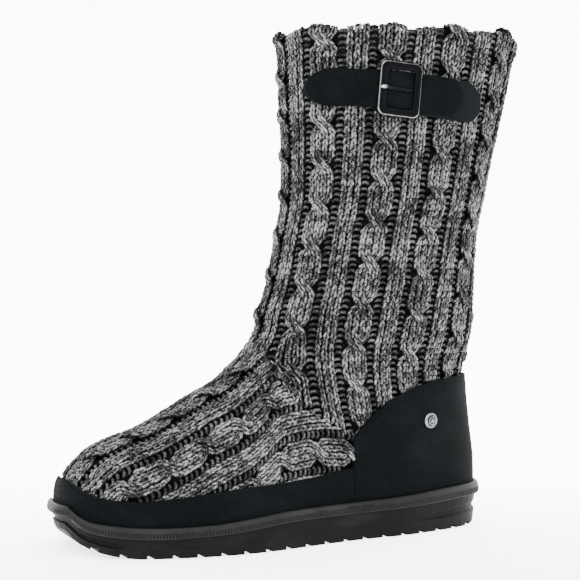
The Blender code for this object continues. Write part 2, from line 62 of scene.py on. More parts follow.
LAST_STATIONS = np.array((
    # along, bend, half, ridge
    (0.000, -0.085, 0.375, 0.505),
    (0.110, -0.060, 0.440, 0.520),
    (0.155, -0.045, 0.460, 0.536),
    (0.230, -0.018, 0.484, 0.613),
    (0.300, 0.004, 0.495, 0.706),
    (0.356, 0.016, 0.490, 0.771),
    (0.403, 0.024, 0.474, 0.862),
    (0.450, 0.030, 0.450, 0.955),
    (0.560, 0.036, 0.394, 1.000),
    (0.700, 0.022, 0.358, 0.950),
    (0.850, 0.004, 0.350, 0.850),
    (1.000, 0.000, 0.350, 0.700),
))
SHAFT_LEVELS = np.array((
    # level, front, back, spread
    (0.00, 0.540, 1.007, 0.03),
    (0.30, 0.540, 1.007, 0.03),
    (0.54, 0.500, 0.993, 0.14),
    (0.80, 0.470, 0.980, 0.34),
    (0.93, 0.456, 0.995, 0.48),
    (1.04, 0.463, 1.005, 0.60),
    (1.16, 0.490, 1.005, 0.70),
    (1.30, 0.511, 1.008, 0.78),
    (1.45, 0.530, 1.030, 0.84),
    (1.60, 0.531, 1.055, 0.90),
    (1.75, 0.525, 1.084, 0.95),
    (2.00, 0.519, 1.128, 1.00),
))
SOLE_STATIONS = np.array((
    # along, rim, band, floor, bed
    (0.000, 1.600, 0.92, 1.00, 1.95),
    (0.018, 1.300, 0.94, 0.54, 1.76),
    (0.040, 1.140, 0.96, 0.30, 1.53),
    (0.080, 1.065, 1.00, 0.09, 1.13),
    (0.130, 1.015, 1.00, 0.00, 1.02),
    (0.180, 1.000, 0.98, 0.00, 1.00),
    (0.270, 1.040, 0.94, 0.00, 1.02),
    (0.360, 1.170, 1.00, 0.00, 1.10),
    (0.450, 1.295, 1.00, 0.00, 1.20),
    (0.560, 1.330, 1.03, 0.00, 1.25),
    (0.680, 1.355, 1.06, 0.00, 1.32),
    (0.780, 1.430, 1.15, 0.00, 1.38),
    (0.850, 1.500, 1.22, 0.00, 1.42),
    (0.930, 1.550, 1.20, 0.00, 1.45),
    (0.970, 1.550, 1.20, 0.02, 1.45),
    (1.000, 1.540, 1.20, 0.12, 1.45),
))


def read(table, column, at):
    """Smooth value of a table's column at places along its first column."""
    knots, values = table[:, 0], table[:, column]
    rise = np.diff(values) / np.diff(knots)
    before, after = rise[:-1], rise[1:]
    same_way = before * after > 0
    slopes = np.concatenate(([rise[0]], np.zeros(len(rise) - 1), [rise[-1]]))
    slopes[1:-1][same_way] = (2 * before * after)[same_way] / (before + after)[same_way]
    at = np.clip(at, knots[0], knots[-1])
    cell = np.clip(np.searchsorted(knots, at) - 1, 0, len(knots) - 2)
    span = np.diff(knots)[cell]
    t = (at - knots[cell]) / span
    start = values[cell] * (1 + 2 * t) * (1 - t) ** 2 + slopes[cell] * span * t * (1 - t) ** 2
    end = values[cell + 1] * (3 - 2 * t) * t ** 2 - slopes[cell + 1] * span * (1 - t) * t ** 2
    return start + end


def soft_step(value):
    value = np.clip(value, 0, 1)
    return value * value * (3 - 2 * value)


def last_middle(y):
    return read(LAST_STATIONS, 1, y / LAST_LENGTH) * BALL_WIDTH


def rim_top(y):
    return read(SOLE_STATIONS, 1, y / LAST_LENGTH) * RIM_HEIGHT


def bed_top(y):
    return read(SOLE_STATIONS, 4, y / LAST_LENGTH) * BED_HEIGHT


def rounded_gap(ratios, radii, power):
    total = sum(ratio ** power for ratio in ratios)
    size = np.maximum(total, 1e-9) ** (1 / power)
    steepness = sum((ratio ** (power - 1) / radius) ** 2 for ratio, radius in zip(ratios, radii))
    return (size - 1) * size ** (power - 1) / np.sqrt(steepness + 1e-6)


def foot_gap(x, y, z):
    along = y / LAST_LENGTH
    half = read(LAST_STATIONS, 2, along) * BALL_WIDTH
    widest = rim_top(y) + GAP
    rise = read(LAST_STATIONS, 3, along) * INSTEP_HEIGHT - widest
    heel_start = LAST_LENGTH - 2 * HEEL_ROUND
    toe = np.maximum(0, TOE_ROUND - y) / TOE_ROUND
    heel = np.maximum(0, y - heel_start) / HEEL_ROUND
    up = np.maximum(0, z - widest) / rise
    across = np.abs(x - last_middle(y)) / half
    end_round = np.where(y > heel_start, HEEL_ROUND, TOE_ROUND)
    return rounded_gap((across, up, toe + heel), (half, rise, end_round), 2.3)


def shaft_oval(z):
    """Front, back and half width of the shaft at a height."""
    above = (z - INSTEP_HEIGHT) / (BOOT_HEIGHT - INSTEP_HEIGHT)
    level = np.where(z < INSTEP_HEIGHT, z / INSTEP_HEIGHT, 1 + above)
    half = (HEEL_WIDTH + (COLLAR_WIDTH - HEEL_WIDTH) * read(SHAFT_LEVELS, 3, level)) / 2
    return read(SHAFT_LEVELS, 1, level) * LAST_LENGTH, read(SHAFT_LEVELS, 2, level) * LAST_LENGTH, half


def shaft_gap(x, y, z):
    front, back, half = shaft_oval(z)
    length = (back - front) / 2
    lengthwise = np.abs(y - (front + back) / 2) / length
    return rounded_gap((np.abs(x) / half, lengthwise), (half, length), 2.25)


def last_gap(x, y, z):
    """Distance outside the last, with a soft crease where shaft and foot meet."""
    foot = foot_gap(x, y, z)
    shaft = shaft_gap(x, y, z)
    near = np.maximum(CREASE_BLEND - np.abs(foot - shaft), 0) / CREASE_BLEND
    return np.minimum(foot, shaft) - near ** 2 * CREASE_BLEND / 4


def search(gap_at, inside, outside):
    for _ in range(26):
        middle = (inside + outside) / 2
        is_in = gap_at(middle) < 0
        inside = np.where(is_in, middle, inside)
        outside = np.where(is_in, outside, middle)
    return (inside + outside) / 2


def end_of_last(z, grow, way):
    z = np.asarray(z, dtype=float)
    start = np.full(z.shape, LAST_LENGTH * 0.72)
    far = start + way * LAST_LENGTH
    return search(lambda y: last_gap(last_middle(y), y, z) - grow, start, far)


def side_of_last(y, z, side, grow):
    y, z = np.broadcast_arrays(y, z)
    middle = last_middle(y)
    far = middle + side * (BALL_WIDTH + COLLAR_WIDTH)
    return search(lambda x: last_gap(x, y, z) - grow, middle, far)


def ring(shares, z, grow):
    """Closed ring round the last: along the outer side to the heel, back along the inner side."""
    z = np.broadcast_to(z, (2, len(shares)))
    points = []
    for side, heights in ((1, z[0]), (-1, z[1])):
        front = end_of_last(heights, grow, -1)
        y = front + shares * (end_of_last(heights, grow, 1) - front)
        points.append(np.column_stack((side_of_last(y, heights, side, grow), y, heights)))
    return np.vstack((points[0], points[1][-2:0:-1]))


def sew(name, points, faces, finish, values=None):
    """Make a piece of mesh in its place on the boot, smooth shaded, with its named values."""
    mesh = bpy.data.meshes.new(name)
    placed = np.asarray(points).reshape(-1, 3) + np.array(LAST_PLACE)
    mesh.from_pydata(placed.tolist(), [], faces)
    mesh.materials.append(finish.material)
    mesh.shade_smooth()
    for key, data in (values or {}).items():
        mesh.attributes.new(key, "FLOAT", "POINT").data.foreach_set("value", np.ravel(data))
    piece = bpy.data.objects.new(name, mesh)
    bpy.context.scene.collection.objects.link(piece)
    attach(piece, "root")
    return piece


def lofted(rows, columns, round_rows=False, round_columns=False):
    """Faces between rows of points."""
    a = np.arange(rows if round_rows else rows - 1)[:, None]
    c = np.arange(columns if round_columns else columns - 1)[None, :]
    b = (a + 1) % rows
    d = (c + 1) % columns
    corners = np.stack((a * columns + c, a * columns + d, b * columns + d, b * columns + c), axis=-1)
    return corners.reshape(-1, 4).tolist()


class Level:
    """A value that changes over a surface. Sums and products on it add their Math nodes."""

    def __init__(self, finish, socket):
        self.finish = finish
        self.socket = socket

    def __add__(self, other):
        return self.finish.maths("ADD", self, other)

    def __sub__(self, other):
        return self.finish.maths("SUBTRACT", self, other)

    def __rsub__(self, other):
        return self.finish.maths("SUBTRACT", other, self)

    def __mul__(self, other):
        return self.finish.maths("MULTIPLY", self, other)

    __radd__ = __add__
    __rmul__ = __mul__


class Finish:
    """The finish of one kind of piece, on a plain shader whose own values come first."""

    def __init__(self, name, **plain):
        self.material = bpy.data.materials.new(name)
        self.material.use_nodes = True
        self.tree = self.material.node_tree
        self.shader = self.tree.nodes["Principled BSDF"]
        for key, value in plain.items():
            self.shader.inputs[key.replace("_", " ")].default_value = value

    def node(self, kind, settings, sockets, output=0):
        """Add a node: its settings first, then the values or links of its sockets."""
        made = self.tree.nodes.new(kind)
        for key, value in settings.items():
            if key == "stops":
                for stop in range(len(value) - 2):
                    made.color_ramp.elements.new(0.5)
                for element, (place, colour) in zip(made.color_ramp.elements, value):
                    element.position = place
                    element.color = (*colour, 1)
            else:
                setattr(made, key, value)
        for key, value in sockets.items():
            self.feed(made.inputs[key], value)
        return Level(self, made.outputs[output])

    def feed(self, socket, value):
        if isinstance(value, Level):
            self.tree.links.new(value.socket, socket)
        else:
            socket.default_value = value

    def maths(self, operation, *values):
        return self.node("ShaderNodeMath", {"operation": operation}, dict(enumerate(values)))

    def spot(self, stretch=(1, 1, 1)):
        """The place on the boot, stretched along its axes."""
        place = self.node("ShaderNodeTexCoord", {}, {}, "Object")
        return self.node("ShaderNodeMapping", {}, {"Vector": place, "Scale": stretch})

    def speckle(self, scale, detail, stretch=(1, 1, 1)):
        sockets = {"Vector": self.spot(stretch), "Scale": scale, "Detail": detail}
        return self.node("ShaderNodeTexNoise", {}, sockets)

    def value_of(self, key):
        """A named value of the mesh."""
        return self.node("ShaderNodeAttribute", {"attribute_name": key}, {}, "Fac")

    def within(self, level, low, high):
        """0 below low, 1 above high, soft between."""
        settings = {"interpolation_type": "SMOOTHSTEP"}
        return self.node("ShaderNodeMapRange", settings, {"Value": level, "From Min": low, "From Max": high})

    def tint(self, level, *stops):
        return self.node("ShaderNodeValToRGB", {"stops": stops}, {"Fac": level})

    def blend(self, level, first, second):
        """Mix of two colours, the second where the level is 1."""
        first, second = ((*c, 1) if isinstance(c, tuple) else c for c in (first, second))
        settings = {"data_type": "RGBA"}
        return self.node("ShaderNodeMix", settings, {0: level, 6: first, 7: second}, 2)

    def show(self, **levels):
        for key, level in levels.items():
            self.feed(self.shader.inputs[key.replace("_", " ")], level)

    def relief(self, height, depth):
        """Raise the surface by height times depth, in metres, through its shading."""
        bump = self.node("ShaderNodeBump", {}, {"Height": height, "Distance": depth})
        self.show(Normal=bump)

LIP_OUT = 0.0050
RIB_PITCH = 0.00165
RIB_DEPTH = 0.00042
RIB_SLANT = 0.0016

rubber = Finish("charcoal rubber", Roughness=0.6, Specular_IOR_Level=0.03)
scuffs = rubber.speckle(60, 6, (1, 0.35, 1))
dust = rubber.within(scuffs, 0.52, 0.74)
rubber.show(
    Base_Color=rubber.blend(dust * 0.4, (0.0026, 0.0024, 0.0023), (0.0080, 0.0076, 0.0073)),
    Roughness=0.46 + rubber.speckle(420, 3) * 0.22,
)
rubber.relief(rubber.speckle(900, 3) * 0.5 + rubber.speckle(160, 2), 0.00012)
cad_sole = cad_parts["sole"]
for place in cad_sole.material_slots:
    place.material = rubber.material


def rim_band():
    """Band of the rim: foot, ribbed face, shoulder and the lip's top, as rings of points, with painted shade for the
    grooves between the ribs.
    """
    half = 1150
    turn = (1 - np.cos(np.linspace(0, math.pi, half))) / 2
    shares = 0.35 * turn + 0.65 * np.linspace(0, 1, half)
    grow = {"foot": LIP_OUT - 0.0020, "face": LIP_OUT, "lip": LIP_OUT - 0.0028}
    plans = {key: ring(shares, rim_top(shares * LAST_LENGTH) + GAP, value) for key, value in grow.items()}
    face = plans["face"]
    steps = np.linalg.norm(np.roll(face, -1, axis=0) - face, axis=1)
    walk = np.concatenate(([0], np.cumsum(steps)[:-1]))
    count = round(steps.sum() / RIB_PITCH)
    turn_at = walk / steps.sum() * count
    side = np.where(np.arange(len(face)) < half, 1, -1)
    section = [
        # height under the rim's top as a share of the band, place between foot and face, rib
        (1.02, 0.00, 0.0), (0.985, 0.55, 0.0), (0.95, 0.90, 0.0), (0.91, 1.02, 0.4),
        (0.80, 1.03, 1.0), (0.68, 1.03, 1.0), (0.56, 1.03, 1.0), (0.46, 1.03, 0.9), (0.40, 1.03, 0.3),
        (0.36, 1.02, 0.0), (0.30, 1.00, 0.0), (0.20, 0.90, 0.0), (0.10, 0.72, 0.0), (0.03, 0.50, 0.0),
        (-0.01, 0.25, 0.0), (0.00, -0.30, 0.0), (0.12, -0.42, 0.0),
    ]
    rows, ribs = [], []
    for under, reach, rib in section:
        points = plans["foot"] + (face - plans["foot"]) * max(reach, 0)
        if reach < 0:
            points = points + (plans["lip"] - plans["foot"]) * min(1, -reach / 0.3)
        height = read(SOLE_STATIONS, 2, points[:, 1] / LAST_LENGTH) * 0.0060
        points[:, 2] = rim_top(points[:, 1]) - under * height
        wave = np.cos(2 * math.pi * (turn_at + side * under * RIB_SLANT / RIB_PITCH))
        raised = rib * RIB_DEPTH * (soft_step(0.5 + 0.9 * wave) - 0.4)
        outward = face - plans["foot"]
        outward /= np.linalg.norm(outward, axis=1)[:, None]
        rows.append(points + outward * raised[:, None])
        # Painted shade: 1 at the bottom of each groove between the ribs, 0 on the ribs and off the ribbed face.
        ribs.append(rib * (0.5 - 0.5 * wave))
    return np.array(rows), np.array(ribs)


rim = Finish("worn rim rubber", Roughness=0.6, Specular_IOR_Level=0.05)
# The grooves between the ribs are painted near black as shade; the wear speckle is the rubber's own.
rim_groove_shade = rim.value_of("groove")
rim_wear = rim.within(rim.speckle(38, 5), 0.35, 0.75)
rim_worn = rim.blend(rim_wear, (0.0062, 0.0063, 0.0065), (0.0115, 0.0116, 0.0118))
rim.show(
    Base_Color=rim.blend(rim_groove_shade * 0.9, rim_worn, (0.0015, 0.0015, 0.0015)),
    Roughness=0.42 + rim.speckle(300, 3) * 0.25,
)
rim.relief(rim.speckle(1100, 3), 0.00008)
band_rows, band_groove_shade = rim_band()
band = sew(
    "rim_band", band_rows, lofted(len(band_rows), band_rows.shape[1], round_columns=True), rim,
    {"groove": band_groove_shade},
)

# Insole and lining
# A footbed covered in short grey pile lies in the sole, and the same pile lines the whole upper.
pile = Finish("grey pile", Roughness=0.95, Sheen_Weight=0.35, Sheen_Roughness=0.5)
tufts = pile.speckle(520, 4)
pile.show(Base_Color=pile.tint(
    tufts * 0.7 + pile.speckle(70, 3) * 0.3,
    (0.30, (0.075, 0.073, 0.068)), (0.50, (0.17, 0.167, 0.158)), (0.72, (0.30, 0.295, 0.28)),
))
pile.relief(tufts + pile.speckle(1500, 2) * 0.5, 0.0012)


def pile_lumps(points, size, seed):
    """Uneven lie of the pile, a small height for each point."""
    spots = points.reshape(-1, 3) * 140 + seed
    return size * np.array([noise.noise(Vector(spot)) for spot in spots]).reshape(points.shape[:-1])


def footbed():
    shares = (1 - np.cos(np.linspace(0, math.pi, 70))) / 2
    heel_in = np.linspace(1, 0.02, 16)
    edge = ring(shares, rim_top(shares * LAST_LENGTH) + GAP, -0.0042)
    spine = edge.copy()
    spine[:, 0] = last_middle(edge[:, 1])
    rows = []
    for share in heel_in:
        points = spine + (edge - spine) * share
        crown = 0.0046 - 0.0022 * share ** 8 + 0.0006 * share ** 2
        points[:, 2] = bed_top(points[:, 1]) + crown
        rows.append(points)
    low = edge.copy()
    low[:, 2] = bed_top(edge[:, 1]) + 0.0006
    points = np.array([low] + rows)
    points[1:, :, 2] += pile_lumps(points[1:], 0.0004, 3.0)
    return points


footbed_rows = footbed()
footbed_faces = lofted(len(footbed_rows), footbed_rows.shape[1], round_columns=True)
insole = sew("footbed", footbed_rows, footbed_faces, pile)
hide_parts("insole")

# Knitted upper
# Shaft and foot are knitted in a chunky marl yarn: ribs three stitches wide, grooves of purl and
# cables that cross every seven rows. The two panels meet at a seam over the instep and ankle.
ROW_HEIGHT = 0.00336
YARN_WIDTH = 0.00240
REPEAT = ("purl", "rib", "rib", "rib", "purl", "cable", "cable", "cable", "cable")
CABLE_ROWS = 7
SHAFT_REPEATS = 10
VAMP_WALE = 0.0041

ANKLE_SEAM = np.array((
    # height, along the last
    (0.0300, 0.1690),
    (0.0589, 0.1602),
    (0.0670, 0.1447),
    (0.0767, 0.1297),
    (0.0826, 0.1210),
    (0.0893, 0.1160),
    (0.0981, 0.1125),
    (0.1052, 0.1105),
    (0.1180, 0.1100),
))
RAND_TOP = np.array((
    # along, height as a share of 43.5 mm
    (0.000, 1.000),
    (0.014, 0.880),
    (0.038, 0.770),
    (0.080, 0.714),
    (0.126, 0.701),
    (0.200, 0.732),
    (0.277, 0.784),
    (0.360, 0.832),
    (0.452, 0.853),
    (0.517, 0.880),
    (0.584, 0.938),
    (0.640, 0.965),
))
COUNTER_TOP = np.array((
    # along, height as a share of 92.5 mm
    (0.600, 0.540),
    (0.614, 0.585),
    (0.631, 0.660),
    (0.656, 0.724),
    (0.681, 0.790),
    (0.713, 0.850),
    (0.778, 0.930),
    (0.851, 0.975),
    (1.000, 1.000),
))
COUNTER_SEAM = 0.1590


def settle(points, outward, rounds=3):
    """Move points along their outward directions onto the last."""
    for _ in range(rounds):
        gap = last_gap(points[..., 0], points[..., 1], points[..., 2])
        points = points - outward * np.clip(gap, -0.004, 0.004)[..., None]
    return points


def even_out(line, count):
    """Points at even steps along each line of points."""
    steps = np.linalg.norm(np.diff(line, axis=1), axis=2)
    walk = np.concatenate((np.zeros((len(line), 1)), np.cumsum(steps, axis=1)), axis=1)
    spread = np.empty((len(line), count, line.shape[2]))
    for row in range(len(line)):
        wanted = np.linspace(0, walk[row, -1], count)
        for axis in range(line.shape[2]):
            spread[row, :, axis] = np.interp(wanted, walk[row], line[row, :, axis])
    return spread, walk[:, -1]


def outward_of(grid, wraps):
    """Unit directions out of a grid of surface points."""
    down = np.gradient(grid, axis=0)
    if wraps:
        across = (np.roll(grid, -1, axis=1) - np.roll(grid, 1, axis=1)) / 2
    else:
        across = np.gradient(grid, axis=1)
    out = np.cross(across, down)
    return out / np.maximum(np.linalg.norm(out, axis=-1), 1e-9)[..., None]


class Cloth:
    """A panel's surface as a grid, read between its points."""

    def __init__(self, grid, low, high, wraps):
        self.grid = grid
        self.out = outward_of(grid, wraps)
        self.low, self.high, self.wraps = low, high, wraps

    def at(self, across, up):
        """Point and outward direction; across from 0 to 1, up in metres."""
        rows, columns = self.grid.shape[:2]
        r = np.clip((up - self.low) / (self.high - self.low), 0, 1) * (rows - 1)
        if self.wraps:
            c = (across % 1) * columns
        else:
            c = np.clip(across, 0, 1) * (columns - 1)
        r0 = np.clip(r.astype(int), 0, rows - 2)
        c0 = c.astype(int) if self.wraps else np.clip(c.astype(int), 0, columns - 2)
        c0 = c0 % columns
        c1 = (c0 + 1) % columns
        tr = (r - r0)[..., None]
        tc = (c - np.floor(c))[..., None] if self.wraps else (c - c0)[..., None]
        found = []
        for field in (self.grid, self.out):
            near = field[r0, c0] * (1 - tc) + field[r0, c1] * tc
            far = field[r0 + 1, c0] * (1 - tc) + field[r0 + 1, c1] * tc
            found.append(near * (1 - tr) + far * tr)
        out = found[1] / np.linalg.norm(found[1], axis=-1)[..., None]
        return found[0], out


def shaft_cloth():
    heights = np.linspace(0.030, 0.304, 93)
    angles = np.linspace(0, 2 * math.pi, 361)
    front, back, half = (value[:, None] for value in shaft_oval(heights))
    middle = (front + back) / 2
    way_x = np.sin(angles)[None, :] * half
    way_y = -np.cos(angles)[None, :] * (back - front) / 2
    level = heights[:, None] + 0 * angles[None, :]
    reach = search(
        lambda r: shaft_gap(way_x * r, middle + way_y * r, level),
        np.zeros(level.shape), np.full(level.shape, 1.6)
    )
    line = np.stack((way_x * reach, middle + way_y * reach, level), axis=-1)
    grid, _ = even_out(line, 361)
    grid = grid[:, :-1]
    return Cloth(settle(grid, outward_of(grid, True)), heights[0], heights[-1], True)


def vamp_cloth():
    """Foot's surface: across is the way from outer side over the ridge, up the way from the toe."""
    fine = 0.0003 + 0.1757 * np.linspace(0, 1, 400) ** 2
    height = read(LAST_STATIONS, 3, fine / LAST_LENGTH) * INSTEP_HEIGHT - rim_top(fine)
    blunt = (1 - (np.maximum(0, TOE_ROUND - fine) / TOE_ROUND) ** 2.3) ** (1 / 2.3)
    crest = rim_top(fine) + height * blunt
    walk_up = np.concatenate(([0], np.cumsum(np.hypot(np.diff(fine), np.diff(crest)))))
    climb = np.linspace(0, walk_up[-1], 81)
    stations = np.interp(climb, walk_up, fine)
    turn = np.linspace(0.02, math.pi - 0.02, 241)[None, :]
    along = stations / LAST_LENGTH
    half = (read(LAST_STATIONS, 2, along) * BALL_WIDTH)[:, None]
    widest = (rim_top(stations) + GAP)[:, None]
    rise = (read(LAST_STATIONS, 3, along) * INSTEP_HEIGHT)[:, None] - widest
    toe = np.maximum(0, TOE_ROUND - stations)[:, None] / TOE_ROUND
    size = (1 - toe ** 2.3) ** (1 / 2.3)
    x = last_middle(stations)[:, None] + np.sign(np.cos(turn)) * half * size * np.abs(np.cos(turn)) ** (2 / 2.3)
    z = widest + rise * size * np.sin(turn) ** (2 / 2.3)
    line = np.stack((x, stations[:, None] + 0 * turn, z), axis=-1)
    steps = np.linalg.norm(np.diff(line, axis=1), axis=2)
    walk = np.concatenate((np.zeros((len(line), 1)), np.cumsum(steps, axis=1)), axis=1)
    ridge = np.array([np.interp(math.pi / 2, turn[0], row) for row in walk])
    wanted = np.linspace(-VAMP_REACH, VAMP_REACH, 161)
    grid = np.empty((len(line), len(wanted), 3))
    for row in range(len(line)):
        for axis in range(3):
            grid[row, :, axis] = np.interp(wanted + ridge[row], walk[row], line[row, :, axis])
        beyond = np.maximum(0, np.abs(wanted) - (walk[row, -1] - ridge[row]))
        grid[row, :, 2] -= beyond
    return Cloth(settle(grid, -outward_of(grid, False)), climb[0], climb[-1], False)


VAMP_REACH = 0.115
shaft = shaft_cloth()
vamp = vamp_cloth()
vamp.out = -vamp.out


def seam_place(z):
    return read(ANKLE_SEAM, 1, z)


def covered(points):
    """How far points lie inside the rand or the counter, in metres; less than 0 outside."""
    y, z = points[..., 1], points[..., 2]
    share = y / LAST_LENGTH
    rand = np.where(y < COUNTER_SEAM, read(RAND_TOP, 1, share) * RAND_HEIGHT - z, -1)
    counter = np.minimum(read(COUNTER_TOP, 1, share) * COUNTER_HEIGHT - z, (y - COUNTER_SEAM) * 3)
    return np.maximum(rand, np.where(y > COUNTER_SEAM, counter, -1))
STRAP_LEVEL = 0.2574
STRAP_SLOPE = math.tan(math.radians(-3.3))
BUCKLE_ALONG = 0.1818


def under_strap(points):
    """1 where the strap or its tab presses the knit flat."""
    x, y, z = points[..., 0], points[..., 1], points[..., 2]
    off_middle = np.abs(z - (STRAP_LEVEL + (y - BUCKLE_ALONG) * STRAP_SLOPE))
    high = soft_step((0.0150 - off_middle) / 0.0035)
    long = soft_step((y - 0.1350) / 0.003) * soft_step((0.2425 - y) / 0.003)
    return np.where(x > 0, high * long, 0)


def pressed(points):
    """1 where a suede piece or the seam holds the knit down."""
    edge = soft_step((covered(points) + 0.0035) / 0.0035)
    return np.maximum(edge, under_strap(points))


def seam_trough(points):
    away = np.abs(points[..., 1] - seam_place(points[..., 2])) * np.where(points[..., 2] < 0.119, 1, 9)
    return np.exp(-(away / 0.0034) ** 2)


def collar_top(points):
    """Height of the collar's top edge above each point."""
    front, back, _ = shaft_oval(np.full(points.shape[:-1], 0.296))
    share = np.clip((points[..., 1] - front) / (back - front), 0, 1)
    turn = np.arccos(1 - 2 * share) * np.where(points[..., 0] >= 0, 1, -1)
    waves = np.cos(10 * turn - 10.3) + 0.6 * np.cos(3 * turn - 0.57)
    return BOOT_HEIGHT - 0.0022 * np.cos(turn) + 0.0011 * waves - 0.0014


ROLL_HALF = 0.0045
ROLL_TURN = 0.0030


def on_shaft(wale, height, lift):
    """Point and outward direction on the shaft, over the rolled collar and down inside it."""
    across = wale / (SHAFT_REPEATS * len(REPEAT))
    edge = collar_top(shaft.at(across, np.full(wale.shape, 0.292))[0]) - ROLL_HALF
    past = height - edge
    angle = np.clip(past / ROLL_TURN, 0, math.pi)
    down = np.maximum(0, past - math.pi * ROLL_TURN)
    level = np.where(past > 0, edge + 0.0036 * np.sin(angle) - down, height)
    point, out = shaft.at(across, level)
    rolled = -0.0018 + (0.0026 + lift) * np.cos(angle)
    swell = lift - 0.0002 + 0.0012 * np.exp(-(past / 0.0065) ** 2)
    point = point + out * np.where(past > 0, rolled, swell)[..., None]
    point[..., 2] += np.where(past > 0, lift * np.sin(angle), 0)
    up = np.zeros(out.shape)
    up[..., 2] = 1
    turned = out * np.cos(angle)[..., None] + up * np.sin(angle)[..., None]
    return point, turned


def on_vamp(wale, along, lift):
    across = (wale * VAMP_WALE / VAMP_REACH + 1) / 2
    point, out = vamp.at(across, along)
    return point + out * lift[..., None], out


def twist_of_cable(slot, row):
    """Sideways move in stitches, and lift, of the cable's four columns at a row."""
    at = np.mod(row, CABLE_ROWS) / CABLE_ROWS
    crossing = np.clip(at / 0.52, 0, 1)
    move = 2 * soft_step(crossing)
    hump = np.sin(math.pi * crossing)
    right = slot >= 2
    return np.where(right, -move, move), np.where(right, 0.0017 * hump, -0.0016 * hump)


LEG_ALONG = np.array((-0.12, 0.30, 0.76, 1.16))
LEG_ASIDE = np.array((0.285, 0.265, 0.165, 0.055))
LEG_LIFT = np.array((-0.0007, 0.0002, 0.0003, -0.0006))
LEG_SWELL = np.array((0.62, 1.0, 0.98, 0.55))
BAR_ALONG = np.array((0.30, 0.52, 0.52, 0.30))
BAR_ASIDE = np.array((-0.52, -0.20, 0.20, 0.52))
BAR_LIFT = np.array((-0.0006, 0.0, 0.0, -0.0006))
ROUND = np.radians((-32.0, 38.0, 90.0, 142.0, 212.0))
# Painted light across each leg of yarn, one value for each corner of ROUND: lighter on top, darker at the sides and
# underneath.
LEG_TOP_LIGHT = np.array((-0.5, 0.45, 1.0, 0.45, -0.5))


def knit(place, wales, rows, first, step, shift, side_rows, keep, seed):
    """Yarn loops of a panel: their points, outward directions, sizes, tones and the painted shade of the purl loops.
    """
    rng = np.random.default_rng(seed)
    legs = {"point": [], "out": [], "size": [], "light": [], "deep": []}
    for wale in wales:
        number = (wale + shift) % len(REPEAT)
        kind = REPEAT[number]
        row = np.arange(rows, dtype=float)
        for way in ((-1, 1) if kind != "purl" else (0,)):
            if kind == "purl":
                along = row[:, None] + BAR_ALONG + 0 * row[:, None]
                aside = wale + 0.5 + BAR_ASIDE + 0 * along
                lift = -0.0018 + BAR_LIFT + 0 * along
                swell = 1.05 + 0 * along
            else:
                along = row[:, None] + LEG_ALONG
                aside = wale + 0.5 + way * LEG_ASIDE + 0 * along
                lift = -0.0010 + LEG_LIFT + 0 * along
                swell = LEG_SWELL + 0 * along
            if kind == "rib":
                lift += (0.0002, 0.0006, 0.0002)[number - 1]
            if kind == "cable":
                slot = number - 5
                offset = side_rows[(wale // len(REPEAT)) % len(side_rows)]
                start_row = np.floor((row[:, None] + offset) / CABLE_ROWS) * CABLE_ROWS
                within = np.clip(along + offset - start_row, 0, CABLE_ROWS - 0.001)
                move, hump = twist_of_cable(slot, within)
                aside = aside + move
                place_in = aside - (wale - slot + 2)
                lift += 0.0010 - 0.0009 * (place_in / 2) ** 2 + hump
            jitter = rng.normal(0, 1, (3, rows, 1))
            aside = aside + 0.035 * jitter[0]
            along = along + 0.05 * jitter[1]
            lift = lift + 0.00012 * jitter[2]
            flat_point, _ = place(aside, first + along * step, np.zeros(aside.shape))
            hold = pressed(flat_point)
            lift = lift * (1 - hold) + np.minimum(lift, -0.0013) * hold
            lift = lift - 0.0010 * seam_trough(flat_point) * (kind != "purl")
            point, out = place(aside, first + along * step, lift)
            kept = keep(flat_point[:, 1])
            legs["point"].append(point[kept])
            legs["out"].append(out[kept])
            legs["size"].append((swell * YARN_WIDTH / 2)[kept])
            legs["light"].append(rng.normal(0, 0.13, rows)[kept])
            # Painted shade: purl loops, which lie sunk in the grooves, are marked to be drawn darker.
            legs["deep"].append(np.full(kept.sum(), 1.0 if kind == "purl" else 0.0))
    return {key: np.concatenate(value) for key, value in legs.items()}


def marl_patch(points):
    """Slow change of the marl yarn from light to dark lengths, from 0 to 1."""
    found = []
    for x, y, z in points:
        spot = Vector((x * 55, y * 55, z * 95))
        found.append(0.5 + 0.75 * noise.noise(spot) + 0.35 * noise.noise(spot * 2.7))
    return np.clip(found, 0, 1)


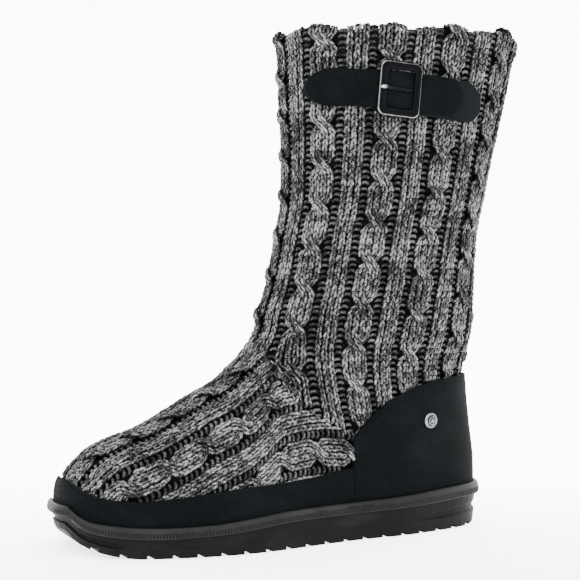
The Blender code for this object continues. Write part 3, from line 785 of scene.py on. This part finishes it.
def yarn(name, legs, finish, seed):
    """Mesh of soft five-sided lengths of yarn, one for each leg of a stitch."""
    rng = np.random.default_rng(seed)
    point, out, size = legs["point"], legs["out"], legs["size"]
    count, stations = size.shape
    tangent = np.gradient(point, axis=1)
    across = np.cross(tangent, out)
    across /= np.linalg.norm(across, axis=-1)[..., None]
    rise = np.cross(across, tangent)
    rise /= np.linalg.norm(rise, axis=-1)[..., None]
    rise *= np.sign((rise * out).sum(axis=-1))[..., None]
    cos, sin = np.cos(ROUND), np.sin(ROUND)
    ring_points = (
        point[:, :, None]
        + across[:, :, None] * (size[..., None] * cos)[..., None]
        + rise[:, :, None] * (size[..., None] * 0.88 * sin)[..., None]
    )
    sides = len(ROUND)
    each = stations * sides
    base = (np.arange(count) * each)[:, None, None]
    a = (np.arange(stations - 1) * sides)[:, None]
    c = np.arange(sides)[None, :]
    d = (c + 1) % sides
    quads = np.stack((a + c, a + d, a + sides + d, a + sides + c), axis=-1).reshape(1, -1, 4) + base
    start = np.arange(sides)[::-1][None, None] + base
    end = (np.arange(sides) + each - sides)[None, None] + base
    faces = quads.reshape(-1, 4).tolist()
    faces += start.reshape(-1, sides).tolist() + end.reshape(-1, sides).tolist()
    phase = rng.random(count)[:, None, None]
    t = np.linspace(0, 1, stations)[None, :, None]
    ply = ROUND / (2 * math.pi) + 0.55 * t + phase + np.zeros((count, stations, sides))
    along = t * 1.5 + (rng.random(count) * 90)[:, None, None] + np.zeros(ply.shape)
    patch = marl_patch(point.mean(axis=1))
    light = patch + legs["light"]
    light = light[:, None, None] + np.zeros(ply.shape)
    deep = legs["deep"][:, None, None] + np.zeros(ply.shape)
    values = {"ply": ply, "along": along, "light": light, "deep": deep, "core": LEG_TOP_LIGHT + np.zeros(ply.shape)}
    return sew(name, ring_points, faces, finish, values)


marl = Finish("grey marl yarn", Roughness=0.92, Specular_IOR_Level=0.02)
ply = marl.value_of("ply")
run = marl.value_of("along")
fibre_place = marl.node("ShaderNodeCombineXYZ", {}, {0: ply * 9.0, 1: run * 2.2, 2: run * 7.0})
fibres = marl.node("ShaderNodeTexNoise", {}, {"Vector": fibre_place, "Scale": 1.0, "Detail": 3.0})
twist = marl.maths("SINE", (ply + fibres * 0.22) * (2 * math.pi))
share = marl.value_of("light")
# Painted light: each leg is paler along its top and darker at its sides, from the core values.
crown = marl.value_of("core") * 1.15 - 0.62
pale = marl.within(crown + twist * 0.24 + (fibres - 0.5) * 2.7 + (share - 0.5) * 0.52, -0.45, 1.15)
# Painted shade: purl loops, sunk in the grooves, are drawn 30 % darker.
pale = pale * (1 - marl.value_of("deep") * 0.30)
marl.show(
    Base_Color=marl.tint(
        pale, (0.0, (0.0035, 0.0038, 0.0040)), (0.35, (0.020, 0.0205, 0.020)),
        (0.70, (0.082, 0.083, 0.080)), (1.0, (0.21, 0.21, 0.203)),
    ),
    Roughness=0.80 + fibres * 0.18,
)
marl.relief(fibres, 0.0007)


def keep_on_shaft(points):
    z = points[..., 2]
    front_ok = (z > 0.1185) | (points[..., 1] > seam_place(z) - 0.0012)
    return front_ok & (covered(points) < 0.0022) & (z > 0.045)


def keep_on_vamp(points):
    z = points[..., 2]
    behind = (z > 0.1185) | (points[..., 1] > seam_place(z) + 0.0012)
    return ~behind & (covered(points) < 0.0022) & (z > 0.020)


SHAFT_FIRST = 0.0450
SHAFT_ROWS = 81
SHAFT_SHIFT = 0
VAMP_FIRST = 0.0040
VAMP_STEP = 0.00336
VAMP_ROWS = 62
third = SHAFT_REPEATS * len(REPEAT) // 3
for part, label in enumerate(("outer", "back", "inner")):
    legs = knit(
        on_shaft, range(part * third, (part + 1) * third), SHAFT_ROWS, SHAFT_FIRST, ROW_HEIGHT, SHAFT_SHIFT,
        (0, 3, 5, 2, 6, 1, 4, 0, 3, 5), keep_on_shaft, 11 + part,
    )
    yarn(f"shaft_knit_{label}", legs, marl, 21 + part)
legs = knit(
    on_vamp, range(-27, 27), VAMP_ROWS, VAMP_FIRST, VAMP_STEP, 0, (0, 3, 5, 2), keep_on_vamp, 17,
)
yarn("vamp_knit", legs, marl, 24)


def shade_sheet(name, place, wales, rows, first, step, shift, keep):
    """A dark sheet of painted shade just behind the yarn, sunk along the purl grooves."""
    wale = np.arange(wales[0] * 3, wales[1] * 3 + 1) / 3
    row = np.arange(rows[0], rows[1] + 0.1, 0.75)
    across, along = np.meshgrid(wale, row)
    number = np.floor(across + shift - 0.001).astype(int) % len(REPEAT)
    lift = np.where(np.isin(number, [k for k, kind in enumerate(REPEAT) if kind == "purl"]), -0.0033, -0.0024)
    flat, _ = place(across, first + along * step, np.zeros(across.shape))
    hold = pressed(flat)
    lift = lift * (1 - hold) - 0.0026 * hold
    point, _ = place(across, first + along * step, lift)
    kept = keep(flat).ravel()
    faces = np.array(lofted(len(row), len(wale)))
    faces = faces[kept[faces].all(axis=1)]
    used, faces = np.unique(faces, return_inverse=True)
    return sew(name, point.reshape(-1, 3)[used], faces.reshape(-1, 4).tolist(), knit_shade)


# Painted shade: the sheet is near black, so that the gaps between the stitches read as shadow.
knit_shade = Finish("painted shade behind the stitches", Roughness=0.95, Specular_IOR_Level=0.02)
shade_speckle = knit_shade.speckle(700, 3)
knit_shade.show(Base_Color=knit_shade.tint(
    shade_speckle, (0.40, (0.0008, 0.0009, 0.0010)), (0.80, (0.0065, 0.0065, 0.0062)),
))
knit_shade.relief(shade_speckle, 0.0010)


def shade_sheet_on_shaft(points):
    z = points[..., 2]
    front_ok = (z > 0.1130) | (points[..., 1] > seam_place(z) - 0.0050)
    return front_ok & (covered(points) < 0.0060)


def shade_sheet_on_vamp(points):
    z = points[..., 2]
    return (points[..., 1] < seam_place(z) + 0.0050) & (covered(points) < 0.0060) & (z < 0.1230)


shaft_shade_sheet = shade_sheet(
    "shaft_shade_sheet", on_shaft, (0, SHAFT_REPEATS * len(REPEAT)), (0, SHAFT_ROWS - 1), SHAFT_FIRST, ROW_HEIGHT,
    SHAFT_SHIFT, shade_sheet_on_shaft,
)
vamp_shade_sheet = shade_sheet(
    "vamp_shade_sheet", on_vamp, (-27, 27), (0, VAMP_ROWS + 3), VAMP_FIRST, VAMP_STEP, 0, shade_sheet_on_vamp,
)
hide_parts("upper")


def lining():
    shares = (1 - np.cos(np.linspace(0, math.pi, 66))) / 2
    low = np.array([bed_top(shares * LAST_LENGTH) + 0.0012] * 2)
    top = BOOT_HEIGHT - 0.0105 + 0 * low
    rows = []
    for level in np.linspace(0, 1, 64):
        rows.append(ring(shares, low + level * (top - low), -0.0041))
    points = np.array(rows)
    middle = np.array([0, 0.19, 0])
    inward = middle - points
    inward[..., 2] = 0
    inward /= np.linalg.norm(inward, axis=-1)[..., None]
    return points + inward * (0.0004 + pile_lumps(points, 0.0007, 9.0))[..., None]


lining_rows = lining()
lining_faces = lofted(len(lining_rows), lining_rows.shape[1], round_columns=True)
lining_piece = sew("pile_lining", lining_rows, lining_faces, pile)

# Suede rand and heel counter
# Two pieces of black suede: one round the toe and both sides, one round the heel with a dished
# top. Each is cut to its edge, sewn to the knit by a row of stitches and cemented in the sole.
suede = Finish("black suede", Roughness=0.9, Specular_IOR_Level=0.03)
nap = suede.speckle(1700, 3)
brushed = suede.within(suede.speckle(34, 4, (1, 1, 1.6)), 0.40, 0.72)
suede_black = suede.blend(brushed * 0.7, (0.0009, 0.0015, 0.0017), (0.0024, 0.0034, 0.0038))
suede.show(
    Base_Color=suede.blend(suede.within(nap, 0.50, 0.80) * 0.4, suede_black, (0.0052, 0.0064, 0.0069)),
    Roughness=0.82 + nap * 0.15,
)
suede.relief(nap + suede.speckle(260, 3) * 0.8, 0.0005)

thread = Finish("dark sewing thread", Roughness=0.8, Specular_IOR_Level=0.03)
thread.show(Base_Color=thread.blend(
    thread.speckle(900, 2), (0.0010, 0.0014, 0.0016), (0.0030, 0.0040, 0.0044),
))

SHEET_SECTION = (
    # share of the height, distance out of the last, distance under the top edge
    (0.00, GAP, 0.0), (0.00, GAP + SUEDE, 0.0), (0.10, GAP + SUEDE, 0.0), (0.22, GAP + SUEDE, 0.0),
    (0.34, GAP + SUEDE, 0.0), (0.46, GAP + SUEDE, 0.0), (0.58, GAP + SUEDE, 0.0), (0.70, GAP + SUEDE, 0.0),
    (0.80, GAP + SUEDE, 0.0), (1.00, GAP + SUEDE, 0.0030), (1.00, GAP + SUEDE - 0.0001, 0.0025),
    (1.00, GAP + SUEDE - 0.0004, 0.0021), (1.00, GAP + SUEDE - 0.0001, 0.0016),
    (1.00, GAP + SUEDE, 0.0011), (1.00, GAP + SUEDE - 0.0002, 0.0005), (1.00, GAP + SUEDE * 0.6, 0.0001),
    (1.00, GAP + SUEDE * 0.2, 0.0002), (1.00, -0.0008, 0.0012), (0.70, -0.0008, 0.0),
)


def wrapped(y_start, way, top_table, top_size, section, columns):
    """Points of a suede sheet round the toe (way -1) or the heel (way 1), a row for each entry."""
    quarter = np.sin(np.linspace(0, math.pi / 2, columns))
    steps = np.concatenate((quarter, quarter[-2::-1]))
    sides = np.concatenate((np.full(columns, 1), np.full(columns - 1, -1)))
    rows = []
    for share, grow, under in section:
        tip = LAST_LENGTH if way > 0 else 0.0
        for _ in range(12):
            y = y_start + steps * (tip - y_start)
            low = bed_top(y) + 0.0010
            z = low + share * (read(top_table, 1, y / LAST_LENGTH) * top_size - low) - under
            tip = end_of_last(z, grow, way)
        x = np.where(sides > 0, side_of_last(y, z, 1, grow), side_of_last(y, z, -1, grow))
        rows.append(np.column_stack((x, y, z)))
    return np.array(rows)


def suede_sheet(name, node, y_start, way, top_table, top_size, columns):
    points = wrapped(y_start, way, top_table, top_size, SHEET_SECTION, columns)
    rows, width = points.shape[:2]
    faces = lofted(rows, width, round_rows=True)
    faces.append([row * width for row in range(rows)])
    faces.append([row * width + width - 1 for row in range(rows)][::-1])
    if way > 0:
        faces = [face[::-1] for face in faces]
    piece = sew(name, points, faces, suede)
    piece.data.set_sharp_from_angle(angle=math.radians(50))
    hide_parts(node)


def seam_stitches(name, line, length, pitch, thick, out_from):
    """A row of sewn stitches along a line of points."""
    steps = np.linalg.norm(np.diff(line, axis=0), axis=1)
    walk = np.concatenate(([0], np.cumsum(steps)))
    starts = np.arange(0.001, walk[-1] - pitch, pitch)
    wanted = starts[:, None] + np.array((0, 0.18, 0.82, 1)) * length
    points = np.stack([np.interp(wanted, walk, line[:, axis]) for axis in range(3)], axis=-1)
    out = points - out_from(points)
    out /= np.linalg.norm(out, axis=-1)[..., None]
    points = points + out * (np.array((-0.7, 0.1, 0.1, -0.7)) * thick)[None, :, None]
    legs = {
        "point": points, "out": out, "size": np.ones(wanted.shape) * thick * np.array((0.55, 1, 1, 0.55)),
        "light": np.zeros(len(points)), "deep": np.zeros(len(points)),
    }
    yarn(name, legs, thread, 31)


def last_core(points):
    """Middle of the last beside each point."""
    core = points.copy()
    core[..., 1] = np.clip(points[..., 1], 0.045, 0.195)
    core[..., 0] = 0
    return core


suede_sheet("suede_rand", "toe_rand", COUNTER_SEAM - GAP / 2, -1, RAND_TOP, RAND_HEIGHT, 110)
suede_sheet("suede_counter", "heel_counter", COUNTER_SEAM + GAP / 2, 1, COUNTER_TOP, COUNTER_HEIGHT, 90)
STITCH_LINE = ((1.0, GAP + SUEDE - 0.0003, 0.0021),)
rand_line = wrapped(COUNTER_SEAM - GAP, -1, RAND_TOP, RAND_HEIGHT, STITCH_LINE, 150)[0]
counter_line = wrapped(COUNTER_SEAM + 0.002, 1, COUNTER_TOP, COUNTER_HEIGHT, STITCH_LINE, 150)[0]
seam_stitches("rand_stitches", rand_line, 0.0019, 0.0026, 0.00032, last_core)
seam_stitches("counter_stitches", counter_line, 0.0019, 0.0026, 0.00032, last_core)
for side, label in ((1, "outer"), (-1, "inner")):
    level = np.linspace(0.020, 0.0480, 40)
    along = np.full(40, COUNTER_SEAM + 0.0021)
    upright = np.column_stack((side_of_last(along, level, side, GAP + SUEDE + 0.0001), along, level))
    seam_stitches(f"counter_seam_{label}", upright, 0.0019, 0.0026, 0.00030, last_core)

# Strap and buckle tab
# A black suede strap is sewn to the outer side at its round front end and runs through the
# buckle. Under its free tip lies the tab that holds the buckle, its suede a little greyer.
STRAP_START = 0.1370
STRAP_END = 0.2245
TAB_START = BUCKLE_ALONG - 0.0125
TAB_END = 0.2400

tab_suede = Finish("grey suede", Roughness=0.9, Specular_IOR_Level=0.03)
tab_nap = tab_suede.speckle(1700, 3)
tab_suede.show(
    Base_Color=tab_suede.blend(tab_nap, (0.0016, 0.0025, 0.0028), (0.0036, 0.0052, 0.0057)),
    Roughness=0.82 + tab_nap * 0.15,
)
tab_suede.relief(tab_nap + tab_suede.speckle(260, 3) * 0.8, 0.0005)


def strap_lift(y):
    """The strap lies on the knit, then climbs over the end of the tab under the buckle."""
    return GAP + (SUEDE + GAP) * soft_step((y - (TAB_START - 3 * SUEDE - 2 * GAP)) / (3 * SUEDE))


def band(name, node, start, end, width, level, lift_at, round_start, finish, waviness):
    """Suede band on the shaft's outer side, its section from the lower edge over and back."""
    half = width / 2
    turn = np.linspace(0.03, math.pi / 2, 22)
    body = np.linspace(start + half if round_start else start, end - half, 90)
    along = np.concatenate((start + half - half * np.cos(turn[:-1]) if round_start else [], body))
    along = np.concatenate((along, end - half + half * np.cos(turn[-2::-1])))
    high = np.concatenate((half * np.sin(turn[:-1]) if round_start else [], np.full(len(body), half)))
    high = np.concatenate((high, half * np.sin(turn[-2::-1])))
    section = [
        # place across, place in the thickness
        (-1.0, 0.0), (-1.0, 0.5), (-0.985, 0.85), (-0.95, 0.98), (-0.88, 1.0), (-0.85, 0.93), (-0.82, 0.92),
        (-0.79, 1.0), (-0.65, 1.03), (-0.4, 1.05), (-0.15, 1.06), (0.15, 1.06), (0.4, 1.05), (0.65, 1.03),
        (0.79, 1.0), (0.82, 0.92), (0.85, 0.93), (0.88, 1.0), (0.95, 0.98), (0.985, 0.85), (1.0, 0.5),
        (1.0, 0.0), (0.5, 0.0), (0.0, 0.0), (-0.5, 0.0),
    ]
    rows = []
    for across, thick in section:
        z = level + (along - BUCKLE_ALONG) * STRAP_SLOPE + across * high
        sway = waviness * np.sin(along * 210 + across) * np.sin((along - start) / (end - start) * math.pi)
        x = side_of_last(along, z, 1, lift_at(along) + thick * SUEDE + np.maximum(0, sway))
        rows.append(np.column_stack((x, along, z)))
    faces = lofted(len(rows), len(along), round_rows=True)
    faces.append([row * len(along) for row in range(len(rows))][::-1])
    faces.append([row * len(along) + len(along) - 1 for row in range(len(rows))])
    piece = sew(name, np.array(rows), [face[::-1] for face in faces], finish)
    piece.data.set_sharp_from_angle(angle=math.radians(55))
    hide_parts(node)


def band_stitches(name, start, end, half, level, lift_at, inset, close_start, close_end):
    """Stitches along both edges of a band and round the ends that are sewn."""
    inner = half - inset
    along = np.linspace(end - half, start + half, 90)
    z = np.full(90, -inner)
    turn = np.linspace(-math.pi / 2, -1.5 * math.pi, 40)
    if close_start:
        along = np.concatenate((along, start + half + inner * np.cos(turn)))
        z = np.concatenate((z, inner * np.sin(turn)))
    along = np.concatenate((along, np.linspace(start + half, end - half, 90)))
    z = np.concatenate((z, np.full(90, inner)))
    if close_end:
        along = np.concatenate((along, end - half + inner * np.cos(np.linspace(math.pi / 2, -math.pi / 2, 40))))
        z = np.concatenate((z, inner * np.sin(np.linspace(math.pi / 2, -math.pi / 2, 40))))
    z = z + level + (along - BUCKLE_ALONG) * STRAP_SLOPE
    line = np.column_stack((side_of_last(along, z, 1, lift_at(along) + SUEDE * 0.97), along, z))
    seam_stitches(name, line, 0.0018, 0.0025, 0.00030, last_core)


band("suede_strap", "strap", STRAP_START, STRAP_END, 0.0215, STRAP_LEVEL, strap_lift, True, suede, 0.0004)
band(
    "suede_tab", "buckle_tab", TAB_START, TAB_END, 0.0235, STRAP_LEVEL - 0.001, lambda y: np.full(len(y), GAP),
    False, tab_suede, 0.0,
)
band_stitches("strap_stitches", STRAP_START, STRAP_END, 0.01075, STRAP_LEVEL, strap_lift, 0.0018, True, True)

# Buckle
# A flat rectangular frame of gunmetal whose bevelled edges carry a painted highlight, and a prong
# that lies across the strap with its tip bent over the front bar and painted bright as a highlight.
BUCKLE_LEAN = math.radians(5)
BUCKLE_LIFT = 3 * GAP + 2 * SUEDE + 0.0009

gunmetal = Finish("gunmetal", Metallic=1.0, Roughness=0.3)
edge_highlight = gunmetal.value_of("edge")
brushing = gunmetal.speckle(240, 4, (1, 1, 6))
# Painted highlight: where the edge values are high, the base colour turns from dark gunmetal to bright metal, along
# the frame's bevels and the prong's tip.
gunmetal.show(
    Base_Color=gunmetal.blend(
        gunmetal.within(edge_highlight + brushing * 0.5, 0.85, 1.35), (0.0045, 0.0048, 0.0055), (0.30, 0.30, 0.305)
    ),
    Roughness=0.26 + brushing * 0.2,
)
gunmetal.relief(brushing, 0.00006)


def seat(y, z, lift, lean=0.0):
    """Origin and axes on the outer side of the last: along the foot, upwards and out."""
    step = 0.002
    x = side_of_last(np.array([y, y - step, y + step, y, y]), np.array([z, z, z, z - step, z + step]), 1, lift)
    lengthwise = Vector((x[2] - x[1], 2 * step, 0)).normalized()
    upwards = Vector((x[4] - x[3], 0, 2 * step)).normalized()
    outwards = lengthwise.cross(upwards).normalized()
    upwards = outwards.cross(lengthwise)
    turned = lengthwise * math.cos(lean) - upwards * math.sin(lean)
    raised = lengthwise * math.sin(lean) + upwards * math.cos(lean)
    return np.array((x[0], y, z)), np.array((turned, raised, outwards))


def rounded_outline(width, height, corner, steps=9):
    points = []
    for quarter, (way_x, way_y) in enumerate(((1, 1), (-1, 1), (-1, -1), (1, -1))):
        for angle in np.linspace(quarter, quarter + 1, steps) * math.pi / 2:
            x = way_x * (width / 2 - corner) + corner * math.cos(angle)
            y = way_y * (height / 2 - corner) + corner * math.sin(angle)
            points.append((x, y))
    return np.array(points)


def buckle_frame():
    origin, axes = seat(BUCKLE_ALONG, STRAP_LEVEL, BUCKLE_LIFT, BUCKLE_LEAN)
    outer = rounded_outline(0.0250, 0.0310, 0.0040)
    inner = rounded_outline(0.0250 - 0.0084, 0.0310 - 0.0084, 0.0014)
    section = (
        # place from the outer edge to the hole, height, painted highlight
        (0.00, -0.0009, 0.2), (0.00, 0.0002, 0.7), (0.03, 0.0004, 1.0), (0.10, 0.00085, 0.9),
        (0.14, 0.0009, 0.1), (0.50, 0.00093, 0.0), (0.84, 0.0009, 0.0), (0.95, 0.0007, 0.3),
        (1.00, 0.0004, 0.3), (1.00, -0.0009, 0.0),
    )
    rows, bright = [], []
    for across, height, shine in section:
        flat = outer + (inner - outer) * across
        rows.append(origin + flat[:, :1] * axes[0] + flat[:, 1:] * axes[1] + height * axes[2])
        bright.append(np.full(len(flat), shine))
    faces = lofted(len(rows), len(outer), round_rows=True, round_columns=True)
    piece = sew("gunmetal_frame", np.array(rows), faces, gunmetal, {"edge": np.array(bright)})
    piece.data.set_sharp_from_angle(angle=math.radians(28))
    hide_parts("buckle_frame")


def buckle_prong():
    origin, axes = seat(BUCKLE_ALONG, STRAP_LEVEL, BUCKLE_LIFT, BUCKLE_LEAN)
    path = np.array((
        # along, height
        (0.0070, 0.0002), (0.0040, 0.0002), (0.0000, 0.0003), (-0.0030, 0.0005), (-0.0055, 0.0012),
        (-0.0075, 0.0021), (-0.0092, 0.0024), (-0.0108, 0.0022), (-0.0118, 0.0018), (-0.0122, 0.0015),
    ))
    thick = np.array((0.0009, 0.0011, 0.0011, 0.0011, 0.0011, 0.0011, 0.0011, 0.0010, 0.0007, 0.0002))
    around = np.linspace(0, 2 * math.pi, 12, endpoint=False)
    rows = []
    for (along, height), radius in zip(path, thick):
        sideways = radius * np.cos(around)[:, None] * axes[1]
        rows.append(origin + along * axes[0] + sideways + (height + radius * 0.8 * np.sin(around))[:, None] * axes[2])
    faces = lofted(len(rows), len(around), round_columns=True)
    faces += [list(range(12))[::-1], [len(rows) * 12 - 12 + k for k in range(12)]]
    # Painted highlight, strongest at the prong's bent tip.
    bright = np.repeat(np.array((0.2, 0.1, 0.1, 0.1, 0.3, 0.5, 0.8, 1.0, 1.0, 1.0)), 12)
    piece = sew("gunmetal_prong", np.array(rows), faces, gunmetal, {"edge": bright})
    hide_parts("buckle_prong")


buckle_frame()
buckle_prong()

# Rivet
# A domed head of antiqued silver on the heel counter, struck with a plain raised ring.
silver = Finish("antiqued silver", Metallic=1.0, Roughness=0.3)
tarnish = silver.within(silver.speckle(700, 4) * 1.1 + silver.value_of("hollow") * 0.7, 0.50, 0.95)
silver.show(
    Base_Color=silver.blend(tarnish, (0.15, 0.15, 0.154), (0.010, 0.010, 0.011)),
    Roughness=0.22 + silver.speckle(300, 3) * 0.25,
)
silver.relief(silver.speckle(500, 3), 0.00012)


def rivet_head():
    origin, axes = seat(0.2117, 0.0660, 2 * GAP + SUEDE)
    profile = (
        # distance from the middle, height, tarnish
        (0.00020, 0.00212, 0.1), (0.00090, 0.00212, 0.0), (0.00150, 0.00204, 0.5), (0.00185, 0.00188, 1.0),
        (0.00215, 0.00198, 0.2), (0.00255, 0.00190, 0.0), (0.00290, 0.00165, 0.7), (0.00310, 0.00150, 1.0),
        (0.00345, 0.00145, 0.3), (0.00395, 0.00118, 0.0), (0.00435, 0.00078, 0.0), (0.00465, 0.00036, 0.2),
        (0.00475, 0.00012, 0.8), (0.00460, 0.00000, 1.0), (0.00440, -0.00040, 1.0),
    )
    around = np.linspace(0, 2 * math.pi, 48, endpoint=False)
    rows, hollow = [], []
    for radius, height, dark in profile:
        spokes = 0.00007 * np.cos(8 * around) * (0.0026 < radius < 0.0036)
        rows.append(
            origin + (radius * np.cos(around))[:, None] * axes[0] + (radius * np.sin(around))[:, None] * axes[1]
            + (height + spokes)[:, None] * axes[2]
        )
        hollow.append(np.full(48, dark))
    faces = [face[::-1] for face in lofted(len(rows), 48, round_columns=True)]
    faces.append(list(range(48)))
    piece = sew("silver_rivet", np.array(rows), faces, silver, {"hollow": np.array(hollow)})
    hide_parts("rivet")


rivet_head()

# Camera, light and floor
# The boot stands on pale paper that runs back to a white wall, seen level from its outer side.
# Paper and wall glow as painted light, faint in front of the boot and full behind it.
YAW = math.radians(25)
EYE = Vector((
    0.740 * math.cos(YAW) + 0.0095 * math.sin(YAW) + LAST_PLACE[0],
    0.1265 - 0.740 * math.sin(YAW) + 0.0095 * math.cos(YAW) + LAST_PLACE[1],
    0.142,
))
lens = bpy.data.cameras.new("camera")
lens.lens = 36 * 1257 / 580
lens.sensor_width = 36
lens.shift_y = 2 / 580
camera = bpy.data.objects.new("camera", lens)
camera.location = EYE
camera.rotation_euler = (math.pi / 2, 0, math.pi / 2 - YAW)
bpy.context.scene.collection.objects.link(camera)
bpy.context.scene.camera = camera


def studio_light(name, place, aim, size, power):
    light = bpy.data.lights.new(name, "AREA")
    light.shape = "RECTANGLE"
    light.size, light.size_y = size
    light.energy = power
    lamp = bpy.data.objects.new(name, light)
    lamp.location = place
    lamp.rotation_euler = (Vector(aim) - Vector(place)).to_track_quat("-Z", "Y").to_euler()
    bpy.context.scene.collection.objects.link(lamp)


studio_light("overhead", (0.35, -0.1, 1.35), (0, 0, 0.12), (1.6, 1.6), 48)
studio_light("front_left", (0.95, -1.15, 0.75), (0, 0, 0.14), (0.9, 1.1), 30)
studio_light("right", (0.9, 1.1, 0.65), (0, 0.05, 0.16), (0.8, 1.0), 14)

floor_finish = Finish("pale paper", Roughness=0.9)
paper = floor_finish.speckle(3, 2)
glow = floor_finish.value_of("glow")
floor_finish.show(
    Base_Color=floor_finish.tint(paper, (0.3, (0.90, 0.90, 0.90)), (0.7, (0.92, 0.92, 0.92))),
    Emission_Color=floor_finish.blend(glow, (0, 0, 0), (1, 1, 1)),
)
# Painted light: paper and wall glow at this strength where their glow value is 1, less in front of the boot.
floor_finish.shader.inputs["Emission Strength"].default_value = 7.0
PAPER = (
    # way back from the boot, height, glow
    (-6.0, 0.0, 0.10), (-0.25, 0.0, 0.10), (0.05, 0.0, 0.45), (0.30, 0.0, 1.0), (1.6, 0.0, 1.0),
    (2.2, 0.15, 1.0), (2.5, 0.6, 1.0), (2.5, 4.0, 1.0),
)
backwards = np.array((-math.cos(YAW), math.sin(YAW), 0))
sideways = np.array((math.sin(YAW), math.cos(YAW), 0))
aside = np.linspace(-6, 6, 7)
paper_rows = [
    [backwards * back + sideways * side + np.array((0, 0, height)) for side in aside]
    for back, height, shine in PAPER
]
paper_glow = [[shine] * len(aside) for back, height, shine in PAPER]
floor_faces = lofted(len(PAPER), len(aside))
floor = sew("floor", np.array(paper_rows), floor_faces, floor_finish, {"glow": np.array(paper_glow)})

world = bpy.data.worlds.new("studio")
world.use_nodes = True
world.node_tree.nodes["Background"].inputs["Color"].default_value = (1, 1, 1, 1)
world.node_tree.nodes["Background"].inputs["Strength"].default_value = 2.3
bpy.context.scene.world = world
